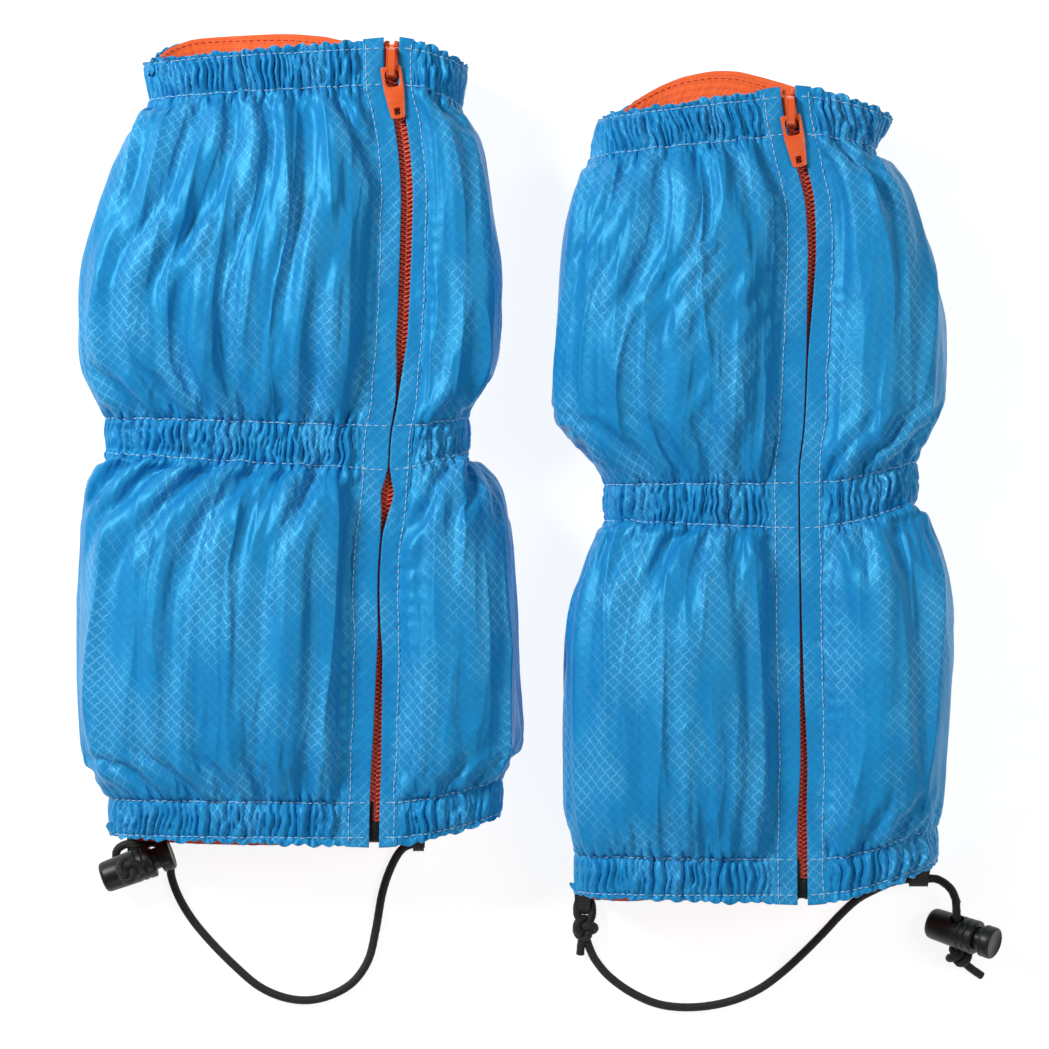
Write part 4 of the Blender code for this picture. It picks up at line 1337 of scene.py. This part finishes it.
def row_places(gaiter, coarse):
    """Places along the zip of the grid's rows, closer together in and near the cuffs."""
    y, hem = rims(gaiter)
    made = []
    while y > hem:
        made.append(y)
        from_cuff = min(max(y - high, low - y, 0.0) for high, low in stitch_rows(gaiter))
        y -= coarse * (CUFF_STEP + (PANEL_STEP - CUFF_STEP) * min(1.0, from_cuff / 25.0))
    return np.array([*made, hem])


def row_y(gaiter, values, places, x):
    """Where a row runs along Y at x: straight from its left point to the zip, then in an arc to its right."""
    middle = line_x(gaiter, places)
    left_share = np.clip((x - values["left_x"]) / (middle - values["left_x"]), 0, 1)
    right_share = np.clip((values["right_x"] - x) / (values["right_x"] - middle), 0, 1)
    left = values["left_y"] + (places - values["left_y"]) * left_share
    right = values["right_y"] + (places - values["right_y"]) * np.sin(right_share * pi / 2)
    return np.where(x < middle, left, right)


def base_grid(gaiter, places, columns, inset=0.0):
    """The fabric before it is ruffled: one even ring of points for each place along the zip."""
    inset = np.broadcast_to(inset, places.shape)
    values = row_values(gaiter, places)
    centre = (values["left_x"] + values["right_x"]) / 2
    half = (values["right_x"] - values["left_x"]) / 2
    middle = zip_x(gaiter, places)
    reach_left, reach_right = (seam - 2.0 for seam in gaiter.seams)
    lift = (values["height"] + SUNK) / 2
    top, hem = rims(gaiter)
    to_calf, to_hem = smoothstep(top - 50, top, places), smoothstep(hem + 30, hem, places)
    rings = []
    for k in range(len(places)):
        row = {key: value[k] for key, value in values.items()}

        def angle_at(x):
            return np.arccos(np.clip(signed_power((x - centre[k]) / half[k], SECTION_POWER / 2), -1, 1))

        first = angle_at(middle[k] - reach_left)
        last = angle_at(middle[k] + reach_right)
        angle = np.linspace(first, last + 2 * pi, SECTION_FINE)
        x = centre[k] + (half[k] - inset[k]) * signed_power(np.cos(angle), 2 / SECTION_POWER)
        z = lift[k] - SUNK + (lift[k] - inset[k]) * signed_power(np.sin(angle), 2 / SECTION_POWER)
        t = np.clip((x - centre[k]) / half[k], -1, 1)
        lowness = smoothstep(lift[k] * 1.5, lift[k] * 0.4, z)
        y = row_y(gaiter, row, places[k], x)
        y = y + lowness * (to_calf[k] * table(gaiter.back, t) - to_hem[k] * table(gaiter.hem_back, t))
        away = np.where(x < middle[k], middle[k] - reach_left - x, x - middle[k] - reach_right)
        flat = 1 - smoothstep(0.0, FLAT_REACH - 12.0, away)
        z = np.where(np.sin(angle) > 0, (ZIP_TOP - 0.45 - inset[k]) * flat + z * (1 - flat), z)
        rings.append(even_run(np.stack([x, y, np.maximum(z, inset[k] + 0.1)], axis=1), columns))
    return np.array(rings)


def normals_of(grid):
    """Outward unit normals of a grid of points."""
    down, round_it = np.gradient(grid, axis=0), np.gradient(grid, axis=1)
    normal = np.cross(round_it, down)
    return normal / np.maximum(np.linalg.norm(normal, axis=2, keepdims=True), 1e-9)


def ruffle(s, pitch, seed, sharp=0.5):
    """Puffs between creases at uneven places round the fabric, -0.5 in a crease to about 0.5 on a puff."""
    rng = np.random.default_rng(seed)
    steps = pitch * rng.uniform(0.55, 1.5, 400)
    creases = np.concatenate([[-40.0], -40.0 + np.cumsum(steps)])
    size = np.clip(rng.uniform(0.55, 1.15, 401) * np.concatenate([steps, [pitch]]) / pitch, 0.35, 1.25)
    index = np.clip(np.searchsorted(creases, s, side="right") - 1, 0, 399)
    share = (s - creases[index]) / steps[index]
    return size[index] * (np.abs(np.sin(pi * share)) ** sharp) - 0.5


def cubic_matrix(at, count):
    """Catmull-Rom weights that read count even samples at the shares in at."""
    place = np.clip(np.asarray(at) * (count - 1), 0, count - 1)
    i = np.minimum(place.astype(int), count - 2)
    t = place - i
    weights = (
        (-t + 2 * t ** 2 - t ** 3) / 2,
        (2 - 5 * t ** 2 + 3 * t ** 3) / 2,
        (t + 4 * t ** 2 - 3 * t ** 3) / 2,
        (t ** 3 - t ** 2) / 2,
    )
    made = np.zeros((len(place), count))
    for k, weight in enumerate(weights):
        np.add.at(made, (np.arange(len(place)), np.clip(i - 1 + k, 0, count - 1)), weight)
    return made


def pull_together(cloth, loose, first, second, rest, firmness):
    """Moves two sets of grid points towards their rest distance apart, as far as each is loose."""
    a, b = cloth[first], cloth[second]
    gap = b - a
    length = np.linalg.norm(gap, axis=-1, keepdims=True)
    share = loose[first] + loose[second] + 1e-9
    move = gap * (firmness * (length - rest) / (np.maximum(length, 1e-6) * share))
    cloth[first] = a + move * loose[first]
    cloth[second] = b - move * loose[second]


def neighbours(rows, columns, down, across):
    """Pairs of indices that join each grid point to the one down and across from it, in two sets in
    which no point has two partners."""
    all_rows, all_columns = np.arange(rows), np.arange(columns)
    pairs = []
    for phase in range(2):
        if down:
            from_rows = all_rows[: rows - down]
            from_rows = from_rows[(from_rows // down) % 2 == phase]
            from_columns = all_columns[max(0, -across): columns - max(0, across)]
        else:
            from_rows = all_rows
            from_columns = all_columns[: columns - across]
            from_columns = from_columns[(from_columns // across) % 2 == phase]
        pairs.append((np.ix_(from_rows, from_columns), np.ix_(from_rows + down, from_columns + across)))
    return pairs


def cuff_distance(gaiter, y):
    """How far each place along the zip is from the nearest elastic, 0 on one."""
    return np.min([np.maximum(np.maximum(y - high, low - y), 0) for high, low in stitch_rows(gaiter)], axis=0)


def settled_folds(gaiter):
    """A cloth simulation of the gathered fabric on a coarse grid: the cuffs and the zip's seams are held,
    the fabric between them is wider and longer than its place, and so it buckles into folds.
    It gives the coarse places and how far each point has moved."""
    top, hem = rims(gaiter)
    places = np.linspace(top, hem, round((top - hem) / SIM_CELL) + 1)
    start = base_grid(gaiter, places, SIM_COLUMNS)
    rows, columns = start.shape[:2]
    girths = np.linalg.norm(np.diff(start, axis=1), axis=2).sum(axis=1)
    width = girths.max() * SIM_EASE
    ease = np.clip(width / girths, 1.0, SIM_MOST_EASE)
    beyond = cuff_distance(gaiter, places)
    outside = (places > stitch_rows(gaiter)[0][0]) | (places < stitch_rows(gaiter)[2][1])
    held = np.where(outside, 0.0, smoothstep(0.0, 5.0, beyond))
    share = np.linspace(0, 1, columns)
    from_seam = np.minimum(share, 1 - share) * girths.mean()
    loose = (held[:, None] * smoothstep(3.0, 11.0, from_seam)[None, :])[..., None]
    across = (girths * ease / (columns - 1))[:, None, None] * np.ones((1, columns, 1))
    down = np.linalg.norm(np.diff(start, axis=0), axis=2)[..., None] * SIM_LENGTH_EASE
    slant = np.sqrt(across[:-1] ** 2 + down ** 2)
    links = []
    for lengths, cells, firmness, steps in (
        (across, 1, SIM_FIRM, (0, 1)), (down, 1, SIM_FIRM, (1, 0)),
        (slant, 1, SIM_SHEAR, (1, 1)), (slant, 1, SIM_SHEAR, (1, -1)),
        (across, 3, SIM_BEND, (0, 3)), (down, 3, SIM_BEND, (3, 0)),
    ):
        for first, second in neighbours(rows, columns, *steps):
            links.append((first, second, lengths[first] * cells, firmness))
    s, y = share[None, :] * width, places[:, None]
    push = np.zeros((rows, columns))
    for k, (size, across_it, along_it) in enumerate(SIM_PUSHES):
        push = push + size * noise(s / across_it, y / along_it, gaiter.seed + 300 + k)
    cloth = start + normals_of(start) * push[..., None] * loose
    speed = np.zeros_like(cloth)
    lowest_x = start[..., 0].min(axis=1, keepdims=True) - SIM_SIDE_ROOM
    highest_x = start[..., 0].max(axis=1, keepdims=True) + SIM_SIDE_ROOM
    for _ in range(SIM_STEPS):
        before = cloth.copy()
        cloth = cloth + speed * SIM_SPEED_KEPT * loose
        cloth = cloth + normals_of(cloth) * SIM_PRESSURE * loose
        cloth = cloth + (start - cloth) * SIM_HOME * loose
        for first, second, rest, firmness in links:
            pull_together(cloth, loose, first, second, rest, firmness)
        cloth[..., 2] = np.maximum(cloth[..., 2], SIM_FLOOR)
        cloth[..., 0] = np.clip(cloth[..., 0], lowest_x, highest_x)
        speed = cloth - before
    moved = cloth - start
    far = np.linalg.norm(moved, axis=2, keepdims=True)
    return places, moved * np.minimum(1.0, SIM_FARTHEST / np.maximum(far, 1e-6))


def fold_field(gaiter, s, places):
    """How far the fabric's fine ruffles stand out of its larger folds, in millimetres."""
    seed = gaiter.seed
    s, y = np.meshgrid(s, places)
    bands = stitch_rows(gaiter)
    drift = 1.6 * noise(s / 14, y / 9, seed + 1)
    total = np.zeros_like(s)
    for k, (high, low) in enumerate(bands):
        inside = (y <= high) & (y >= low)
        across = np.clip((high - y) / (high - low), 0, 1)
        beyond = np.maximum(np.maximum(y - high, low - y), 0)
        fine = ruffle(s + drift, RUFFLE_PITCH, seed + 20 + k)
        other = ruffle(s + drift * 1.4, RUFFLE_PITCH * 0.8, seed + 40 + k)
        blend = smoothstep(-0.3, 0.3, noise(s / 25, y / 12, seed + 60 + k))
        puffs = fine * blend + other * (1 - blend)
        swell = 0.72 + 0.42 * np.sin(pi * across) ** 0.7
        near = np.exp(-((beyond / 5.5) ** 1.2))
        total += RUFFLE * puffs * np.where(inside, swell, 0.72 * near)
        total += 0.6 * noise(s / 1.7, y / 8, seed + 70 + k) * near
        stitched = np.minimum(np.abs(y - high), np.abs(y - low))
        total -= 0.75 * np.exp(-((stitched / 1.1) ** 2))
        total += np.where(inside, 0.5 * np.sin(pi * across), 0)
    beyond = cuff_distance(gaiter, y)
    sides = np.argmin([np.abs(y - (high + low) / 2) for high, low in bands], axis=0)
    for k in range(3):
        lean = 0.3 * noise(s / 40, y / 30, seed + 80 + k) * beyond
        wave = noise((s + lean) / 6.5, y / 24, seed + 100 + k)
        crest = 0.5 - 1.6 * np.abs(noise((s + lean) / 9.0, y / 30, seed + 130 + k))
        envelope = (beyond / 8.0) * np.exp(1 - beyond / 8.0)
        total += np.where(sides == k, 1.5 * (0.7 * wave + 0.5 * crest) * envelope, 0)
    away = smoothstep(2, 16, beyond)
    for k, (across, along, size) in enumerate(CREASES):
        lean = s + 0.3 * across * noise(s / 70, y / 90, seed + 150 + k)
        apart = np.abs(noise(lean / across, y / along, seed + 160 + k))
        strength = 0.15 + 0.85 * smoothstep(-0.3, 0.35, noise(s / 55, y / 75, seed + 190 + k))
        total += away * size * strength * (np.exp(-((apart / 0.13) ** 1.1)) - 0.25)
    total += smoothstep(4, 26, beyond) * LOBES * noise(s / 11, y / 150, seed + 170)
    top, hem = bands[0][0], bands[2][1]
    for edge, side in ((top, 1), (hem, -1)):
        out = np.clip((y - edge) * side, 0, None)
        frill = ruffle(s + drift, RUFFLE_PITCH * 1.3, seed + 170 + side, 0.9)
        total += 2.2 * frill * out / FRILL_STITCH
    return total


def fabric_grid(gaiter, folds, columns, coarse, layer):
    """A ruffled layer of fabric as a grid, and its own millimetres (round, along) for the weave."""
    places = row_places(gaiter, coarse)
    top, hem = rims(gaiter)
    inward = smoothstep(0.0, 8.0, np.minimum(top - places, places - hem))
    inset = layer.rim_inset + (layer.inset - layer.rim_inset) * inward
    calm = layer.rim_calm + (layer.calm - layer.rim_calm) * inward
    grid = base_grid(gaiter, places, columns, inset)
    girths = np.linalg.norm(np.diff(grid, axis=1), axis=2).sum(axis=1)
    from_ground = smoothstep(1.0, 14.0, grid[..., 2])
    left, right = grid[..., :1].min(axis=1), grid[..., :1].max(axis=1)
    to_side = np.minimum(grid[..., 0] - left, right - grid[..., 0])
    if folds:
        coarse_places, moved = folds
        share = (coarse_places[0] - places) / (coarse_places[0] - coarse_places[-1])
        read_rows = cubic_matrix(share, len(coarse_places))
        read_columns = cubic_matrix(np.linspace(0, 1, columns), moved.shape[1])
        grid = grid + np.einsum("ri,ijk,cj->rck", read_rows, moved, read_columns, optimize=True)
    width = girths.max() * GIRTH_EASE
    s = np.linspace(0, width, columns)
    depth = calm[:, None] * fold_field(gaiter, s, places)
    to_edge = np.minimum(s, width - s)[None, :]
    depth = depth * (0.05 + 0.95 * smoothstep(3.5, 11.0, to_edge))
    depth = np.where(depth < 0, -DEEPEST * np.tanh(-depth / DEEPEST), depth)
    depth = np.where(depth > 0, depth * (0.5 + 0.5 * smoothstep(0.5, 9.0, to_side)), depth)
    near_top = smoothstep(top - 12, top, places)[:, None]
    depth = depth * (1 - 0.8 * near_top * (1 - from_ground))
    grid = grid + normals_of(grid) * depth[..., None]
    along = np.concatenate([[0], np.cumsum(-np.diff(places))])
    frilled = frill_wave(gaiter, s, places) * layer.rim_calm * (0.35 + 0.65 * from_ground)
    grid[..., 1] += frilled * (0.15 + 0.85 * smoothstep(2.0, 12.0, to_edge))
    grid[..., 2] = np.maximum(grid[..., 2], (0.15 + inset)[:, None])
    return grid, paired(s[None, :], along[:, None]), places


def frill_wave(gaiter, s, places):
    """The wavy free edges beyond the outer rows of stitches, along Y."""
    s, y = np.meshgrid(s, places)
    (top, _), _, (_, hem) = stitch_rows(gaiter)
    made = np.zeros_like(s)
    for edge, side in ((top, 1), (hem, -1)):
        out = np.clip((y - edge) * side, 0, None) / FRILL_STITCH
        scallop = ruffle(s, RUFFLE_PITCH * 1.5, gaiter.seed + 180 + side, 1.0)
        scallop = scallop + 0.5 * noise(s / 21, y * 0, gaiter.seed + 190)
        made += side * 1.4 * scallop * out ** 1.5
    return made


def shell(gaiter, folds):
    """The outer fabric, with its two rims turned in. It gives the piece, its grid and the grid's places."""
    grid, uv, places = fabric_grid(gaiter, folds, COLUMNS, 1.0, OUTER)
    inward = -normals_of(grid)
    kernel = np.ones(25) / 25  # the rim turns in smoothly, over 25 of its points
    turned = []
    for edge, side in ((0, 1), (-1, -1)):
        rim = grid[edge]
        smoothed = np.stack([np.convolve(inward[edge, :, k], kernel, "same") for k in range(3)], axis=-1)
        inward[edge] = smoothed / np.linalg.norm(smoothed, axis=-1, keepdims=True)
        back = np.array([0.0, -1.0, 0.0]) * side
        turned.append([rim + inward[edge] * deep + back * far for deep, far in HEM_TURN])
        for ring in turned[-1]:
            ring[:, 2] = np.maximum(ring[:, 2], 0.1)
    points = np.concatenate([np.array(turned[0][::-1]), grid, np.array(turned[1])])
    turn = [far + 0.5 for _, far in HEM_TURN]
    uv_top = [uv[0] - [0, far] for far in turn[::-1]]
    uv_low = [uv[-1] + [0, far] for far in turn]
    uvs = np.concatenate([np.array(uv_top), uv, np.array(uv_low)])
    piece = grid_object(f"{gaiter.name}_shell_fabric", points, uvs, FINISH["ripstop"])
    return settle(piece, f"{gaiter.name}_gaiter", "ripstop", f"{gaiter.name}_shell"), grid, places


def lining(gaiter, folds):
    """The lining: short of the shell's rim in front, proud of it at the back, with one row of stitches."""
    grid, uv, places = fabric_grid(gaiter, folds, COLUMNS // 2, 1.6, INNER)
    top, hem = rims(gaiter)
    from_rim = np.minimum(top - places, places - hem)[:, None, None]
    grid = grid - normals_of(grid) * LINING_SLACK * smoothstep(4.0, 22.0, from_rim)
    at_front = smoothstep(3.0, 18.0, grid[..., 2])
    short = LINING_SHORT * at_front - LINING_PROUD * (1 - at_front)
    grid[..., 1] -= smoothstep(top - 30, top, places)[:, None] * short
    lowest = 0.4 + (INNER.inset - 1.0) * smoothstep(0.0, 8.0, from_rim[..., 0])
    grid[..., 2] = np.maximum(grid[..., 2], lowest)
    piece = grid_object(f"{gaiter.name}_lining_fabric", grid, uv, FINISH["lining"], inside_out=True)
    seam = int(np.argmin(np.abs(places - stitch_rows(gaiter)[0][0])))
    line = (grid[seam - 1] + grid[seam] + grid[seam + 1]) / 3
    up = -normals_of(grid)[seam]
    points, quads, thread_uv = stitch_row(line + up * STITCH_PROUD, up)
    name = f"{gaiter.name}_lining_stitches"
    thread = mesh_object(name, points, quads, FINISH["lining_thread"], thread_uv)
    settle(thread, f"{gaiter.name}_gaiter", "lining")
    return settle(piece, f"{gaiter.name}_gaiter", "lining", f"{gaiter.name}_lining")


def elastic_bands(gaiter):
    """The three elastics between shell and lining, as thin strips with a closed section."""
    for label, (high, low) in zip(("top", "middle", "hem"), stitch_rows(gaiter)):
        places = np.linspace(high - 3.5, low + 2.5, 8)
        outer, inner = (base_grid(gaiter, places, BAND_COLUMNS, inset) for inset in BAND_INSETS)
        ring = np.concatenate([outer, inner[::-1], outer[:1]])
        round_it, down = np.linspace(0, 400, BAND_COLUMNS), np.linspace(0, 40, len(ring))
        node = f"{gaiter.name}_{label}_elastic"
        piece = grid_object(f"{node}_band", ring, paired(round_it[None, :], down[:, None]), FINISH["elastic"])
        settle(piece, f"{gaiter.name}_gaiter", "elastic", node)


def placket_point(gaiter, y, off, lift=0.0):
    """A point on a placket's top, off to the right of the zip (or left, if negative)."""
    x = zip_x(gaiter, y) + off
    wave = 0.4 * noise(y / 17, off / 9, gaiter.seed + 200) + 0.16 * noise(y / 3.1, off / 6, gaiter.seed + 201)
    seam = np.where(off < 0, gaiter.seams[0], gaiter.seams[1])
    near_seam = np.exp(-(((np.abs(off) - seam) / 3.5) ** 2))
    wave = wave + 0.6 * near_seam * noise(y / 5.0, off / 14, gaiter.seed + 202)
    wave = wave * (0.25 + 0.75 * smoothstep(4.5, 7.5, np.abs(off)))
    z = ZIP_TOP + wave - 0.12 + lift
    return np.stack(np.broadcast_arrays(x, row_y(gaiter, row_values(gaiter, y), y, x), z), axis=-1)


def plackets(gaiter):
    """The flat folded strip on each side of the zip."""
    top, hem = rims(gaiter)
    y = np.linspace(top + 1.0, hem - 0.6, 420)
    slit = table(gaiter.slit, y)
    made = []
    shapes = (
        (0.0, 0.0), (0.03, 0.06), (0.09, 0.1), (0.17, 0.05), (0.3, 0.0), (0.42, 0.0), (0.54, 0.0),
        (0.66, 0.0), (0.76, 0.0), (0.84, -0.06), (0.89, -0.14), (0.94, 0.0), (1.0, -0.1),
    )
    for side, sign in SIDES:
        uneven = 0.25 * noise(y / 6, y * 0, gaiter.seed + 210 + sign)
        outer = gaiter.seams[0 if sign < 0 else 1] + 1.5 + uneven
        top_face = [(slit + 0.15 + (outer - slit - 0.15) * share, drop) for share, drop in shapes]
        section = (
            (slit + 0.05, -0.75), (slit - 0.1, -0.4), *top_face, (outer + 0.05, -0.5), (outer - 0.3, -0.85),
            (outer * 0.5 + slit * 0.5, -0.9), (slit + 0.4, -0.9),
        )
        ring = [placket_point(gaiter, y, sign * off, lift) for off, lift in section]
        grid = np.array(ring).transpose(1, 0, 2)
        if sign > 0:
            grid = grid[:, ::-1]
        uv = paired(grid[..., 0] - line_x(gaiter, y)[:, None], (top - y)[:, None])
        node = f"{gaiter.name}_placket_{side}"
        piece = grid_object(f"{node}_fold", grid, uv, FINISH["ripstop"], wrap=True)
        face_outwards(piece.data, fill=True)
        made.append(settle(piece, f"{gaiter.name}_gaiter", "ripstop", node))
    return made


def gaiter_pieces(gaiter):
    folds = settled_folds(gaiter)
    cover, grid, places = shell(gaiter, folds)
    inside = lining(gaiter, folds)
    elastic_bands(gaiter)
    folded = plackets(gaiter)
    thread = stitches(gaiter, grid, places)
    zip_tapes(gaiter)
    zip_coils(gaiter)
    zip_ends(gaiter)
    slider(gaiter)
    pull(gaiter)


camera()
studio()
cords()
for loop in WEBBINGS:
    webbing(*loop)
for each in (LEFT, RIGHT):
    gaiter_pieces(each)
